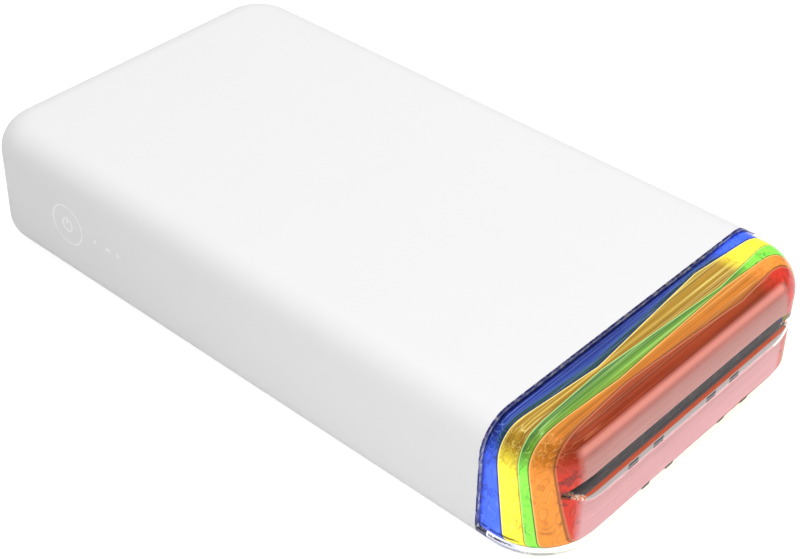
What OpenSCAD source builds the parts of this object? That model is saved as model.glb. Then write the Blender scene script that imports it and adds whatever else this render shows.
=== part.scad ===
// Compact photo printer: white slab, clear tinted front cap, cartridge door, film and card engine.
// Front with the print slot is +X, up is +Z, the near long side with the button is -Y.

/* [Case] */
// Length over the front cap
body_len = 150.2; // [140:0.1:160]
// Width across the long sides
body_w = 80.2; // [76:0.1:84]
// Height from the table to the top face
body_top = 27.6; // [26:0.1:30]
// Height of the rubber feet under the case
foot_h = 0.8; // [0.5:0.1:1.2]
// Wall of the white case
wall = 1.8; // [1.4:0.1:2.2]
// Plan radius of the two rear corners
rear_r = 10.8; // [9:0.1:12]
// Plan radius of the two front corners
front_r = 12.4; // [11:0.1:14]
// Rounding of the top edge
top_r = 6.8; // [5.5:0.1:7.5]
// Rounding of the bottom edge
bottom_r = 4.6; // [3.5:0.1:5.5]
// Running clearance round the door and the bottom cover
panel_gap = 0.25; // [0.15:0.05:0.4]

/* [Front cap] */
// Length of the clear cap
cap_len = 16; // [14:0.1:18]
// Wall of the clear cap
clear_wall = 2; // [1.6:0.1:2.4]
// Thickness of the tinted layers
tint_t = 1.5; // [1:0.1:2]
// Backward lean of the layer boundaries in degrees
tint_tilt = 7; // [0:1:12]
// Half width of the print slot
slot_half = 33.3; // [31:0.1:35]
// Lower edge of the slot opening
slot_z0 = 13.3; // [12.5:0.1:14]
// Upper edge of the slot opening
slot_z1 = 18.2; // [17.5:0.1:19]
// Height of the pale lip in the slot
lip_h = 1.7; // [1.2:0.1:2.2]

/* [Button and marks] */
// Diameter of the power button
button_d = 9; // [8:0.1:10]
// Distance of the button from the middle
button_x = -47.8; // [-50:0.1:-45]
// Height of the button and marks
button_z = 14.4; // [13:0.1:16]
// Travel of the power button
button_travel = 0.4; // [0.2:0.05:0.6]

/* [Door] */
// Rear end of the door
door_x0 = -66.6; // [-68:0.1:-65]
// Front end of the door
door_x1 = 52; // [50:0.1:54]
// Height of the hinge axis
hinge_z = 4.4; // [4.2:0.05:4.8]
// Distance of the hinge axis from the middle plane
hinge_y = 38.8; // [38.7:0.05:39]
// Radius of the door top edge about the hinge
door_swing_r = 21.2; // [20.8:0.1:21.4]
// Diameter of the hinge pins
pin_d = 0.8; // [0.7:0.1:1]

/* [Engine] */
// Gear module
gear_m = 0.5; // [0.4:0.1:0.6]
// Radius of the platen over its rubber
platen_r = 3.5; // [3.3:0.05:3.6]
// Distance of the platen from the middle
platen_x = 30; // [29:0.5:31]
// Height of the platen axis
platen_z = 8.5; // [8.4:0.05:8.6]
// Distance of the capstan from the middle
capstan_x = 51; // [50.5:0.1:51.2]
// Rise of the card path from the platen to the slot in degrees
path_rise = 6.5; // [6:0.1:7]
// Radius of the pinch roller
pinch_r = 2.2; // [2:0.05:2.4]
// Distance of the pick-up shaft from the middle
pickup_x = 7.6; // [7:0.1:8]
// Height of the pick-up shaft
pickup_z = 12.2; // [12.1:0.05:12.4]
// Radius of the pick-up tyre
pickup_r = 3.8; // [3.6:0.05:3.9]
// Radial running clearance of shafts and pins in their holes
fit = 0.05; // [0.03:0.01:0.08]
// Radius of the driven shafts
shaft_r = 1.2; // [1:0.05:1.3]
// Radius of the studs and the arm shaft
stud_r = 1; // [0.8:0.05:1.1]
// Radius of the pinch roller's pin
pinch_pin_r = 0.9; // [0.8:0.05:1]
// Radius of the motor shafts
pinion_r = 0.75; // [0.6:0.05:0.9]
// Radius of the motor cans
can_r = 5.4; // [5:0.1:5.5]
// Half of the width the engine works across
web_half = 27.4; // [27:0.1:28]

/* [Print head] */
// Distance of the arm shaft from the middle
arm_x = 4; // [3:0.5:5]
// Height of the arm shaft
arm_z = 23.6; // [23.2:0.1:23.8]
// Angle from the raised to the lowered head
arm_drop = 5.5; // [5:0.1:6]
// Turn of the cam that lowers the head
cam_turn = 150; // [120:5:180]
// Distance of the cam shaft from the middle
cam_x = -14; // [-15:0.5:-13]
// Height of the cam shaft
cam_z = 18; // [17.8:0.1:18.2]

/* [Cartridge] */
// Radius of the full supply roll
supply_r = 4; // [3.8:0.05:4.1]
// Radius of the take-up roll
takeup_r = 3.3; // [3:0.05:3.6]
// Radius of the spool housings
tube_r = 4.7; // [4.6:0.05:4.8]
// Length of a card
card_len = 86; // [85:0.5:87]
// Width of a card
card_w = 54; // [53:0.5:55]

/* [Hidden] */
$fn = 64;

x0 = -body_len / 2;
x1 = body_len / 2;
seam_x = x1 - cap_len;
floor_z = foot_h + wall;
roof_z = body_top - wall;
in_y = body_w / 2 - wall;
slip = 0.02;

// gear planes on the near side
plate_y0 = -31.2;
plate_y1 = -30.2;
near_y0 = -33.9;
near_y1 = -31.9;
far_y0 = -36.6;
far_y1 = -34.4;
gear_thin = 0.05;

// tooth numbers
n_platen = 20;
n_capstan = 20;
n_link = 24;
n_link2 = 18;
n_takeup = 14;
n_feed = 26;
n_pick = 22;
n_pick2 = 34;
n_motor = 12;
n_cam = 28;
n_cam_motor = 20;

function pr(n) = n * gear_m / 2;
function gap_of(a, b) = pr(a) + pr(b);
// centre at distance ra from a and rb from b, on the upper side of the line a-b
function apex(a, b, ra, rb) =
  let (v = b - a, d = norm(v), s = (ra * ra - rb * rb + d * d) / (2 * d))
  let (h = sqrt(ra * ra - s * s))
  a + v * s / d + h * [-v[1], v[0]] / d;
function dir(a, b) = atan2(b[1] - a[1], b[0] - a[0]);
function mesh(a, na, pa, b, nb) =
  let (f = dir(a, b))
  f + 180 - 360 / nb * (0.5 - (f - pa) * na / 360);

path_k = tan(path_rise);
platen_c = [platen_x, platen_z];
nip_z = platen_z + platen_r;
capstan_r = platen_r;
capstan_c = [capstan_x, nip_z + (capstan_x - platen_x) * path_k - capstan_r];
pinch_c = [capstan_x, capstan_c[1] + capstan_r + 0.3 + pinch_r];
pick_c = [pickup_x, pickup_z];
link_c = apex(platen_c, capstan_c, gap_of(n_platen, n_link), gap_of(n_link, n_capstan));
feed_c = apex(pick_c, platen_c, gap_of(n_pick, n_feed), gap_of(n_feed, n_platen));
motor_c = pick_c + gap_of(n_pick2, n_motor) * [cos(150), sin(150)];
takeup_c = link_c + gap_of(n_link2, n_takeup) * [cos(75), sin(75)];
supply_c = [18, 17.2];
cam_c = [cam_x, cam_z];
cam_motor_c = [cam_x - gap_of(n_cam, n_cam_motor), cam_z];

// tooth phases, each found from its neighbour
ph_platen = 0;
ph_link = mesh(platen_c, n_platen, ph_platen, link_c, n_link);
ph_capstan = mesh(link_c, n_link, ph_link, capstan_c, n_capstan);
ph_takeup = mesh(link_c, n_link2, 0, takeup_c, n_takeup);
ph_feed = mesh(platen_c, n_platen, ph_platen, feed_c, n_feed);
ph_pick = mesh(feed_c, n_feed, ph_feed, pick_c, n_pick);
ph_motor = mesh(pick_c, n_pick2, 0, motor_c, n_motor);
ph_cam_motor = mesh(cam_c, n_cam, 0, cam_motor_c, n_cam_motor);

// arm and cam
arm_c = [arm_x, arm_z];
tail_c = [cam_x, cam_z + 3.4];
tail_r = 0.8;
cam_gap = 0.03;
function turned(v, a) = [v[0] * cos(a) + v[1] * sin(a), v[1] * cos(a) - v[0] * sin(a)];
function tail_at(t) = arm_c + turned(tail_c - arm_c, arm_drop * t / cam_turn) - cam_c;
function pitch(t) = turned(tail_at(t), -t);
function cam_pt(t) =
  let (p = pitch(t), v = pitch(t + 0.5) - pitch(t - 0.5), n = [v[1], -v[0]] / norm(v))
  p - n * sign(n * p) * (tail_r + cam_gap);
head_zero = 15.2;

// tinted layers: folded boundaries in plan
fold_y = [-body_w / 2 - 4.9, -14, 19, body_w / 2 + 4.9];
fold_x = [
  [for (d = [0, 0, 0, 0]) seam_x - 4.1 - d],
  [for (d = [13.3, 10.9, 13.7, 11.5]) x1 - d],
  [for (d = [8.9, 10.1, 8.2, 10.1]) x1 - d],
  [for (d = [7.9, 6.5, 7.6, 6.4]) x1 - d],
  [for (d = [3.8, 5.3, 3.9, 5.4]) x1 - d],
  [for (d = [0, 0, 0, 0]) x1 + 4.9 - d]
];

// ---------- outline of the slab ----------

module edge_profile(r, z0, z1, rt, rb) {
  translate([0, z0]) square([r - rb, z1 - z0 - rt]);
  translate([0, z0 + rb]) square([r - rt, z1 - z0 - rb]);
  translate([0, z0 + rb]) square([r, z1 - z0 - rb - rt]);
  intersection() {
    translate([0, z0]) square([r, z1 - z0]);
    union() {
      translate([r - rt, z1 - rt]) circle(rt);
      translate([r - rb, z0 + rb]) circle(rb);
    }
  }
}

module pebble(d) {
  a = x0 + d;
  b = x1 - d;
  w = body_w / 2 - d;
  z0 = foot_h + d;
  z1 = body_top - d;
  rr = rear_r - d;
  rf = front_r - d;
  rt = top_r - d;
  rb = bottom_r - d;
  for (s = [0, 1]) mirror([0, s, 0]) {
    translate([a + rr, w - rr, 0]) rotate(90)
      rotate_extrude(angle = 90) edge_profile(rr, z0, z1, rt, rb);
    translate([b - rf, w - rf, 0]) rotate_extrude(angle = 90) edge_profile(rf, z0, z1, rt, rb);
    translate([a + rr, 0, 0]) rotate([90, 0, 90])
      linear_extrude(b - a - rr - rf) edge_profile(w, z0, z1, rt, rb);
  }
  translate([a + rr, w - rr, 0]) rotate([90, 0, 0]) mirror([1, 0, 0])
    linear_extrude(2 * (w - rr)) edge_profile(rr, z0, z1, rt, rb);
  translate([b - rf, w - rf, 0]) rotate([90, 0, 0])
    linear_extrude(2 * (w - rf)) edge_profile(rf, z0, z1, rt, rb);
}

module skin(t) {
  difference() {
    pebble(0);
    pebble(t);
  }
}

// slab along X between two planes
module band(a, b) {
  translate([a, -60, -5]) cube([b - a, 120, 45]);
}

// solid along Y drawn in the XZ plane
module along_y(ya, yb) {
  translate([0, yb, 0]) rotate([90, 0, 0]) linear_extrude(yb - ya) children();
}

module rod_y(c, r, ya, yb) {
  translate([c[0], yb, c[1]]) rotate([90, 0, 0]) cylinder(r = r, h = yb - ya);
}

module disc2(c, r) {
  translate(c) circle(r);
}

// ---------- gears ----------

function inv_pt(rb, r) =
  let (a = acos(rb / r))
  [r, (tan(a) - a * PI / 180) * 180 / PI];

module gear2d(n, phase) {
  r = pr(n);
  pa = 25;
  rb = r * cos(pa);
  rt = r + gear_m;
  rr = r - 1.2 * gear_m;
  half = 90 / n - gear_thin / r * 90 / PI;
  lead = inv_pt(rb, r)[1];
  lo = max(rb, rr);
  flank = [
    [rr, half + lead],
    [lo + 0.001, half + lead - inv_pt(rb, lo + 0.001)[1]],
    [(lo + r) / 2, half + lead - inv_pt(rb, (lo + r) / 2)[1]],
    [(r + rt) / 2, half + lead - inv_pt(rb, (r + rt) / 2)[1]],
    [rt, half + lead - inv_pt(rb, rt)[1]]
  ];
  pts = [
    for (i = [0:n - 1], k = [0:9])
      let (q = k < 5 ? flank[k] : flank[9 - k], s = k < 5 ? -1 : 1)
      let (a = phase + i * 360 / n + s * q[1])
      q[0] * [cos(a), sin(a)]
  ];
  polygon(pts);
}

module gear(c, n, phase, ya, yb, bore) {
  along_y(ya, yb) translate(c) difference() {
    gear2d(n, phase);
    circle(bore);
  }
}

// ---------- case ----------

module door_field(g) {
  intersection() {
    translate([door_x0 - g, 30, hinge_z - 1.1 - g])
      cube([door_x1 - door_x0 + 2 * g, 15, 30]);
    translate([door_x0 - 5, hinge_y, hinge_z]) rotate([0, 90, 0])
      cylinder(r = door_swing_r + g, h = door_x1 - door_x0 + 10, $fn = 96);
  }
}

module cover_outline(g) {
  a = x0 + bottom_r + 0.6 - g;
  b = seam_x - 2.6 + g;
  w = 34.9 + g;
  difference() {
    translate([a, -w]) square([b - a, 2 * w]);
    for (s = [-1, 1]) {
      difference() {
        translate([a - 1, s > 0 ? w - 5.6 : -w - 1]) square([6.6, 6.6]);
        translate([a + 5.6, s * (w - 5.6)]) circle(5.6);
      }
    }
  }
}

boss_at = [for (s = [-1, 1]) [x0 + 8.5, s * (body_w / 2 - 8.7)]];
front_boss = [seam_x - 4.7, 26];
chassis_boss_at = [[40.5, -22], [40.5, 22]];
post_at = [[-34.2, -20], [-34.2, 20]];

// the two hinge pins reach pin_in into the case and into the door
pin_in = 1.5;
module hinge_rods(r, over) {
  for (x = [door_x0, door_x1]) translate([x - pin_in - over, hinge_y, hinge_z]) rotate([0, 90, 0])
    cylinder(r = r, h = 2 * (pin_in + over));
}

module top_case() {
  color([0.96, 0.96, 0.96]) difference() {
    union() {
      difference() {
        skin(wall);
        door_field(panel_gap);
      }
      for (p = boss_at) translate([p[0], p[1], floor_z]) cylinder(r = 2.2, h = roof_z - floor_z + 0.5);
      for (p = post_at) translate([p[0], p[1], 12.25]) cylinder(r = 1.9, h = roof_z - 11.75);
      for (s = [-1, 1]) translate([front_boss[0], s * front_boss[1], tab_z + 1.05])
        cylinder(r = 1.8, h = roof_z - tab_z - 0.55);
    }
    band(seam_x, x1 + 5);
    translate([0, 0, foot_h - 1]) linear_extrude(wall + 1.01) cover_outline(panel_gap);
    for (p = boss_at) translate([p[0], p[1], 0]) cylinder(r = 0.8, h = 14);
    for (p = post_at) translate([p[0], p[1], 10]) cylinder(r = 0.7, h = 8);
    for (s = [-1, 1]) translate([front_boss[0], s * front_boss[1], tab_z + 0.4]) cylinder(r = 0.7, h = 4.5);
    translate([button_x, -in_y + 1, button_z]) rotate([90, 0, 0]) cylinder(r = button_d / 2 + 0.1, h = 5);
    for (m = mark_at) translate([m[0], -in_y + 1, button_z]) rotate([90, 0, 0]) mark_shape(m[1], 0.05);
    translate([x0 - 1, 0, usb_z]) rotate([90, 0, 90]) linear_extrude(wall + 2) usb_outline(0.25);
    translate([x0 - 1, 13, usb_z]) rotate([0, 90, 0]) cylinder(r = 0.6, h = wall + 2);
    hinge_rods(pin_d / 2, 0.1);
  }
}

mark_at = [[-39.3, 0], [-35.3, 1], [-32.5, 2]];
module mark_shape(kind, g) {
  linear_extrude(5) {
    if (kind == 0) circle(0.35 + g);
    if (kind == 1) square([1.3 + 2 * g, 0.5 + 2 * g], center = true);
    if (kind == 2) polygon((1 + g) * [[0.3, 1], [-0.55, -0.2], [-0.06, -0.17], [-0.3, -1],
      [0.55, 0.2], [0.06, 0.17]]);
  }
}

usb_z = 16.2;
module usb_outline(g) {
  for (s = [-1, 1]) translate([s * 2.9, 0]) circle(1.6 + g);
  square([5.8, 3.2 + 2 * g], center = true);
}

module bottom_cover() {
  color([0.93, 0.93, 0.93]) difference() {
    translate([0, 0, foot_h]) linear_extrude(wall) cover_outline(0);
    for (p = boss_at) screw_seat(p);
    for (p = chassis_boss_at) screw_seat(p);
    for (p = foot_at) translate([p[0], p[1], foot_h - 1]) cylinder(r = foot_r, h = 1.6);
    for (i = [0:5]) translate([-20 + i * 3, 0, foot_h - 0.5]) translate([0, -9, 0]) cube([1.2, 18, 4]);
  }
}

foot_r = 4;
foot_at = [for (x = [x0 + 19.1, seam_x - 9.1], y = [-26, 26]) [x, y]];
module screw_seat(p) {
  translate([p[0], p[1], foot_h - 1]) cylinder(r = 1.9, h = 2);
  translate([p[0], p[1], foot_h]) cylinder(r = 1.1, h = 3);
}

module rubber_feet() {
  color([0.25, 0.25, 0.26]) for (p = foot_at) translate([p[0], p[1], 0]) {
    translate([0, 0, 0.3]) cylinder(r = foot_r, h = foot_h + 0.3);
    cylinder(r1 = foot_r - 0.3, r2 = foot_r, h = 0.3);
  }
}

module screw(p, za, zb, r) {
  translate([p[0], p[1], za]) difference() {
    union() {
      cylinder(r = r * 2.2, h = 0.7);
      cylinder(r = r, h = zb - za);
    }
    translate([0, 0, -0.1]) cylinder(r = r * 0.9, h = 0.5, $fn = 6);
  }
}

module case_screws() {
  color([0.7, 0.7, 0.72]) {
    for (p = boss_at) screw(p, foot_h + 0.3, 9, 0.8);
    for (p = chassis_boss_at) screw(p, foot_h + 0.3, 6.4, 0.8);
  }
}

module cartridge_door() {
  color([0.95, 0.95, 0.95]) difference() {
    union() {
      intersection() {
        skin(wall);
        door_field(0);
        band(x0 + 5, seam_x - 1);
      }
      for (s = [-1, 1]) translate([-7.3 + s * 44, in_y - 1.3, 8]) cube([1.2, 1.6, 11]);
    }
    hinge_rods(pin_d / 2 + fit, 0.1);
    translate([magnet_x - 3, in_y - 3, 20]) cube([6, 3, 2.9]);
  }
}

module door_pins() {
  color([0.75, 0.75, 0.77]) hinge_rods(pin_d / 2, 0);
}

module door_pad() {
  color([0.35, 0.35, 0.38]) translate([-40, in_y - 1, 7]) cube([60, 1, 6]);
}

magnet_x = -7.3;
module door_magnet() {
  color([0.6, 0.6, 0.62]) translate([magnet_x - 3, in_y - 3, 20]) cube([6, 3, 2.2]);
}

module case_magnet() {
  color([0.6, 0.6, 0.62]) translate([magnet_x - 3, body_w / 2 - top_r - 2.4, roof_z - 2.4])
    cube([6, 2.4, 2.4]);
}

// ---------- button ----------

module power_button() {
  color([0.93, 0.93, 0.94]) difference() {
    union() {
      translate([button_x, -in_y, button_z]) rotate([90, 0, 0]) cylinder(r = button_d / 2, h = wall);
      translate([button_x, -in_y + 0.8, button_z]) rotate([90, 0, 0])
        cylinder(r = button_d / 2 + 0.8, h = 0.8);
      translate([button_x, -in_y + 1.5, button_z]) rotate([90, 0, 0]) cylinder(r = 1.2, h = 1);
    }
  }
}

module light_guide() {
  color([0.9, 0.95, 1]) {
    for (m = mark_at) translate([m[0], -in_y + 0.5, button_z]) rotate([90, 0, 0])
      intersection() {
        mark_shape(m[1], 0);
        cylinder(r = 4, h = 0.5 + wall);
      }
    translate([-40.6, -in_y + 0.1, button_z - 1.6]) cube([9.4, 1.2, 3.2]);
  }
}

module button_board() {
  color([0.1, 0.35, 0.2]) {
    translate([-53, -in_y + 3.6, button_z - 5]) cube([22.5, 0.8, 10]);
    translate([button_x - 1.8, -in_y + 2.6, button_z - 1.8]) cube([3.6, 1.02, 3.6]);
    translate([button_x, -in_y + 2.6 + 0.01, button_z]) rotate([90, 0, 0])
      cylinder(r = 0.9, h = 1.1 - button_travel - 0.05);
    for (m = mark_at) translate([m[0] - 0.5, -in_y + 3.1, button_z - 0.5]) cube([1, 0.6, 1]);
  }
}

module usb_socket() {
  color([0.75, 0.76, 0.78]) {
    difference() {
      translate([x0 + 0.9, 0, usb_z]) rotate([90, 0, 90]) linear_extrude(7) usb_outline(0);
      translate([x0 + 0.8, 0, usb_z]) rotate([90, 0, 90]) linear_extrude(6.6) usb_outline(-0.3);
    }
    translate([x0 + 1.6, -2.8, usb_z - 0.35]) cube([6, 5.6, 0.7]);
  }
}

// ---------- front cap ----------

// pointed lens outline of the slot, drawn in YZ
module slot_outline(g) {
  h = slot_z1 - slot_z0 + 2 * g;
  w = slot_half + g;
  r = 14;
  zc = (slot_z0 + slot_z1) / 2;
  square_w = w - 8;
  translate([-square_w, slot_z0 - g]) square([2 * square_w, h]);
  for (s = [-1, 1]) intersection() {
    translate([s > 0 ? square_w - 0.01 : -w, slot_z0 - g]) square([w - square_w + 0.01, h]);
    translate([s * square_w, zc - (r - h / 2)]) circle(r, $fn = 96);
    translate([s * square_w, zc + (r - h / 2)]) circle(r, $fn = 96);
  }
}

module slot_cut(g, a, b) {
  translate([a, 0, 0]) rotate([90, 0, 90]) linear_extrude(b - a) slot_outline(g);
}

module cap_shell() {
  color([0.9, 0.93, 0.97, 0.35]) difference() {
    intersection() {
      skin(clear_wall);
      band(seam_x + slip, x1 + 5);
    }
    slot_cut(0, seam_x + 5, x1 + 5);
  }
}

module tint_ring() {
  difference() {
    pebble(clear_wall + slip);
    pebble(clear_wall + tint_t);
    slot_cut(0.3, seam_x + 5, x1 + 5);
  }
}

module layer(i) {
  intersection() {
    tint_ring();
    band(seam_x + slip, x1);
    translate([0, 0, body_top / 2 + 0.2]) rotate([0, -tint_tilt, 0]) translate([0, 0, -20])
      linear_extrude(44) polygon(concat(
        [for (k = [0:3]) [fold_x[i][k] + slip, fold_y[k]]],
        [for (k = [3:-1:0]) [fold_x[i + 1][k] - slip, fold_y[k]]]
      ));
  }
}

module tint_blue() {
  color([0.25, 0.4, 0.95]) layer(0);
}

module tint_yellow() {
  color([0.98, 0.93, 0.15]) layer(1);
}

module tint_green() {
  color([0.35, 0.8, 0.3]) layer(2);
}

module tint_orange() {
  color([0.95, 0.5, 0.15]) layer(3);
}

module tint_red() {
  color([0.85, 0.2, 0.2]) layer(4);
}

lip_x0 = x1 - 4.9;
rib_at = [-17.7, -10.4, 5.6, 12.9];
module slot_lip() {
  color([0.82, 0.82, 0.84]) intersection() {
    difference() {
      translate([lip_x0, 0, 0]) rotate([90, 0, 90]) linear_extrude(x1 - lip_x0) slot_outline(-slip);
      translate([lip_x0 - 1, -50, slot_z0 + lip_h]) cube([20, 100, 20]);
      for (y = rib_at) translate([x1 - 2.6, y - 1.5, slot_z0 - 0.5]) cube([1, 3, 1.4]);
    }
    pebble(0.25);
  }
}

module slot_tunnel() {
  color([0.3, 0.31, 0.33]) difference() {
    translate([seam_x + 0.1, -30.5, 10.6]) cube([lip_x0 - seam_x - 0.2, 61, 9.4]);
    translate([capstan_x, 0, capstan_c[1] + capstan_r]) rotate([0, -path_rise, 0])
      translate([0, -28.4, -0.5]) cube([40, 56.8, 2.4]);
  }
}

module cap_backplate() {
  color([0.85, 0.85, 0.87]) difference() {
    intersection() {
      pebble(wall + 0.1);
      band(seam_x - 2, seam_x - slip);
    }
    translate([capstan_x, 0, capstan_c[1] + capstan_r]) rotate([0, -path_rise, 0])
      translate([0, -28.4, -0.5]) cube([40, 56.8, 2.4]);
  }
}

// ---------- frame parts of the engine ----------

base_z = floor_z + 0.05;
tab_z = 19.6;
tab_x1 = seam_x - 2.9;
deck_z = 11;
base_x0 = x0 + 9.1;
deck_x1 = -1.5;
module chassis() {
  color([0.3, 0.31, 0.33]) difference() {
    union() {
      translate([base_x0, -30, base_z]) cube([seam_x - 3.1 - base_x0, 64.5, 0.8]);
      translate([base_x0, -30, base_z]) cube([1.1, 59, deck_z - base_z + 0.1]);
      translate([base_x0, -30, base_z]) cube([deck_x1 - base_x0, 1, deck_z - base_z + 0.1]);
      translate([base_x0, -30, deck_z]) cube([deck_x1 - base_x0, 59, 1.2]);
      for (p = chassis_boss_at) translate([p[0], p[1], base_z]) cylinder(r = 2.1, h = 4);
      for (p = board_post_at) translate([p[0], p[1], deck_z + 1])
        cylinder(r = 1.6, h = board_z - deck_z - 1);
      translate([cam_x - 2.6, -6.8, deck_z + 1]) cube([5.2, 1.4, 9]);
      for (c = [cam_motor_c, motor_c]) translate([c[0] - 3.5, -26, deck_z + 1])
        cube([7, 10, c[1] - deck_z - 1.2]);
    }
    for (p = chassis_boss_at) translate([p[0], p[1], base_z - 1]) cylinder(r = 0.8, h = 6);
    for (p = post_at) translate([p[0], p[1], deck_z - 1]) cylinder(r = 1, h = 3);
    for (p = board_post_at) translate([p[0], p[1], deck_z + 1]) cylinder(r = 0.8, h = 5);
    for (p = boss_at) translate([p[0], p[1], 0]) cylinder(r = 2.4, h = 14);
    for (x = [-9.5, -4]) rod_y([x, deck_z + 0.6], 0.55, 26.9, 30);
    rod_y(cam_c, shaft_r + fit, -10, 0);
    for (c = [cam_motor_c, motor_c]) rod_y(c, can_r + slip, -31, -10);
  }
}

board_z = 13.4;
board_x0 = x0 + 2.5;
board_post_at = [for (x = [10.6, 31.6], y = [-20, 22]) [board_x0 + x, y]];
module main_board() {
  color([0.08, 0.3, 0.2]) difference() {
    translate([board_x0, -24, board_z]) cube([35.6, 50, 1]);
    for (p = board_post_at) translate([p[0], p[1], board_z - 1]) cylinder(r = 0.8, h = 3);
  }
}

module board_parts() {
  color([0.15, 0.15, 0.17]) {
    translate([board_x0 + 14.6, -8, board_z + 1]) cube([12, 12, 1.4]);
    translate([board_x0 + 12.6, 8, board_z + 1]) cube([9, 9, 1]);
    translate([board_x0 + 25.6, 8, board_z + 1]) cube([6, 8, 1.2]);
    translate([board_x0 + 16.6, -20, board_z + 1]) cube([8, 6, 2.6]);
    for (i = [0:5]) translate([board_x0 + 28.6 + (i % 2) * 3, -14 + i * 2.2, board_z + 1])
      cube([1.6, 0.9, 0.8]);
    translate([board_x0 + 32.2, -10, board_z + 1]) cube([3, 16, 3]);
    translate([board_x0 + 6.6, 10, board_z + 1]) cube([3.4, 3.2, 1.8]);
    for (p = board_post_at) translate([p[0], p[1], board_z + 1]) {
      cylinder(r = 1.5, h = 0.8);
      translate([0, 0, -2.2]) cylinder(r = 0.8, h = 3);
    }
  }
}

battery_z = deck_z + 1.25;
module battery() {
  color([0.6, 0.62, 0.66]) {
    translate([-31, -4, battery_z]) cube([29, 32.5, 6]);
    translate([-31, -4, battery_z + 1.4]) translate([-0.6, 4, 0]) cube([1.2, 24, 3]);
  }
}

module battery_leads() {
  for (i = [0, 1]) color(i == 0 ? [0.8, 0.1, 0.1] : [0.1, 0.1, 0.1]) {
    translate([board_x0 + 35.2, 1 + i * 2, board_z + 2.4]) rotate([0, 90, 0]) cylinder(r = 0.45, h = 5.8);
  }
}

module side_plate() {
  color([0.72, 0.73, 0.75]) difference() {
    union() {
      along_y(plate_y0, plate_y1) difference() {
        polygon([[-33, 12.4], [-0.5, 12.4], [-0.5, 3.6], [tab_x1, 3.6], [tab_x1, tab_z + 1],
          [46, arm_z + 1.7], [-33, arm_z + 1.7]]);
        disc2(platen_c, shaft_r + fit);
        disc2(capstan_c, shaft_r + fit);
        disc2(pinch_c, pinch_pin_r + fit);
        disc2(pick_c, shaft_r + fit);
        disc2(supply_c, 1 + fit);
        disc2(takeup_c, shaft_r + fit);
        disc2(arm_c, stud_r);
        disc2(cam_c, shaft_r + fit);
        disc2(link_c, stud_r);
        disc2(feed_c, stud_r);
        disc2(motor_c, 2.5);
        disc2(cam_motor_c, 2.5);
      }
      translate([tab_x1 - 3.7, plate_y1 - 0.5, tab_z]) cube([3.7, 6.4, 1]);
    }
    translate([front_boss[0], -front_boss[1], tab_z - 0.6]) cylinder(r = 1, h = 3);
  }
}

module front_bracket() {
  color([0.72, 0.73, 0.75]) difference() {
    union() {
      along_y(29, 30) difference() {
        polygon([[25.4, 3.6], [tab_x1, 3.6], [tab_x1, tab_z + 1], [48.9, tab_z + 1],
          [48.9, 12.4], [25.4, 12.4]]);
        disc2(platen_c, shaft_r + fit);
        disc2(capstan_c, shaft_r + fit);
        disc2(pinch_c, pinch_pin_r + fit);
      }
      translate([tab_x1 - 3.7, 24, tab_z]) cube([3.7, 5.5, 1]);
    }
    translate([front_boss[0], front_boss[1], tab_z - 0.6]) cylinder(r = 1, h = 3);
  }
}

module rear_bracket() {
  color([0.72, 0.73, 0.75]) {
    along_y(29.05, 30.05) difference() {
      polygon([[-12, 9.4], [9.6, 9.4], [10.4, 13.8], [6.6, arm_z + 1.6], [-12, arm_z + 1.6]]);
      disc2(pick_c, shaft_r + fit);
      disc2(arm_c, stud_r);
    }
    for (x = [-9.5, -4]) rod_y([x, deck_z + 0.6], 0.55, 27, 30.06);
    for (x = [-9.5, -4]) rod_y([x, deck_z + 0.6], 1.1, 30.05, 30.6);
  }
}

// ---------- rollers ----------

module platen_shaft() {
  color([0.8, 0.8, 0.82]) rod_y(platen_c, shaft_r, near_y0, 30.4);
}

module platen_rubber() {
  color([0.2, 0.2, 0.22]) along_y(-web_half, web_half) difference() {
    disc2(platen_c, platen_r);
    disc2(platen_c, shaft_r);
  }
}

module platen_gear() {
  color([0.9, 0.88, 0.8]) gear(platen_c, n_platen, ph_platen, near_y0, near_y1, shaft_r);
}

module capstan() {
  color([0.7, 0.7, 0.72]) {
    rod_y(capstan_c, shaft_r, near_y0, 30.4);
    rod_y(capstan_c, capstan_r, -web_half, web_half);
  }
}

module capstan_gear() {
  color([0.9, 0.88, 0.8]) gear(capstan_c, n_capstan, ph_capstan, near_y0, near_y1, shaft_r);
}

module pinch_roller() {
  color([0.45, 0.45, 0.48]) {
    rod_y(pinch_c, pinch_pin_r, plate_y0 - 0.2, 30.2);
    for (y = [-22, -6, 10]) rod_y(pinch_c, pinch_r, y, y + 12);
  }
}

module pickup_shaft() {
  color([0.8, 0.8, 0.82]) rod_y(pick_c, shaft_r, far_y0, 30.4);
}

module pickup_tyre() {
  color([0.2, 0.2, 0.22]) along_y(-13, 13) difference() {
    disc2(pick_c, pickup_r);
    disc2(pick_c, shaft_r);
  }
}

module pickup_gear() {
  color([0.9, 0.88, 0.8]) {
    gear(pick_c, n_pick, ph_pick, near_y0, near_y1, shaft_r);
    gear(pick_c, n_pick2, 0, far_y0, far_y1, shaft_r);
    along_y(far_y1 - 0.01, near_y0 + 0.01) difference() {
      disc2(pick_c, 3.2);
      disc2(pick_c, shaft_r);
    }
  }
}

module feed_idler() {
  color([0.9, 0.88, 0.8]) gear(feed_c, n_feed, ph_feed, near_y0, near_y1, stud_r + fit);
}

module link_idler() {
  color([0.9, 0.88, 0.8]) {
    gear(link_c, n_link, ph_link, near_y0, near_y1, stud_r + fit);
    gear(link_c, n_link2, 0, far_y0, far_y1, stud_r + fit);
    along_y(far_y1 - 0.01, near_y0 + 0.01) difference() {
      disc2(link_c, 3);
      disc2(link_c, stud_r + fit);
    }
  }
}

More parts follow.
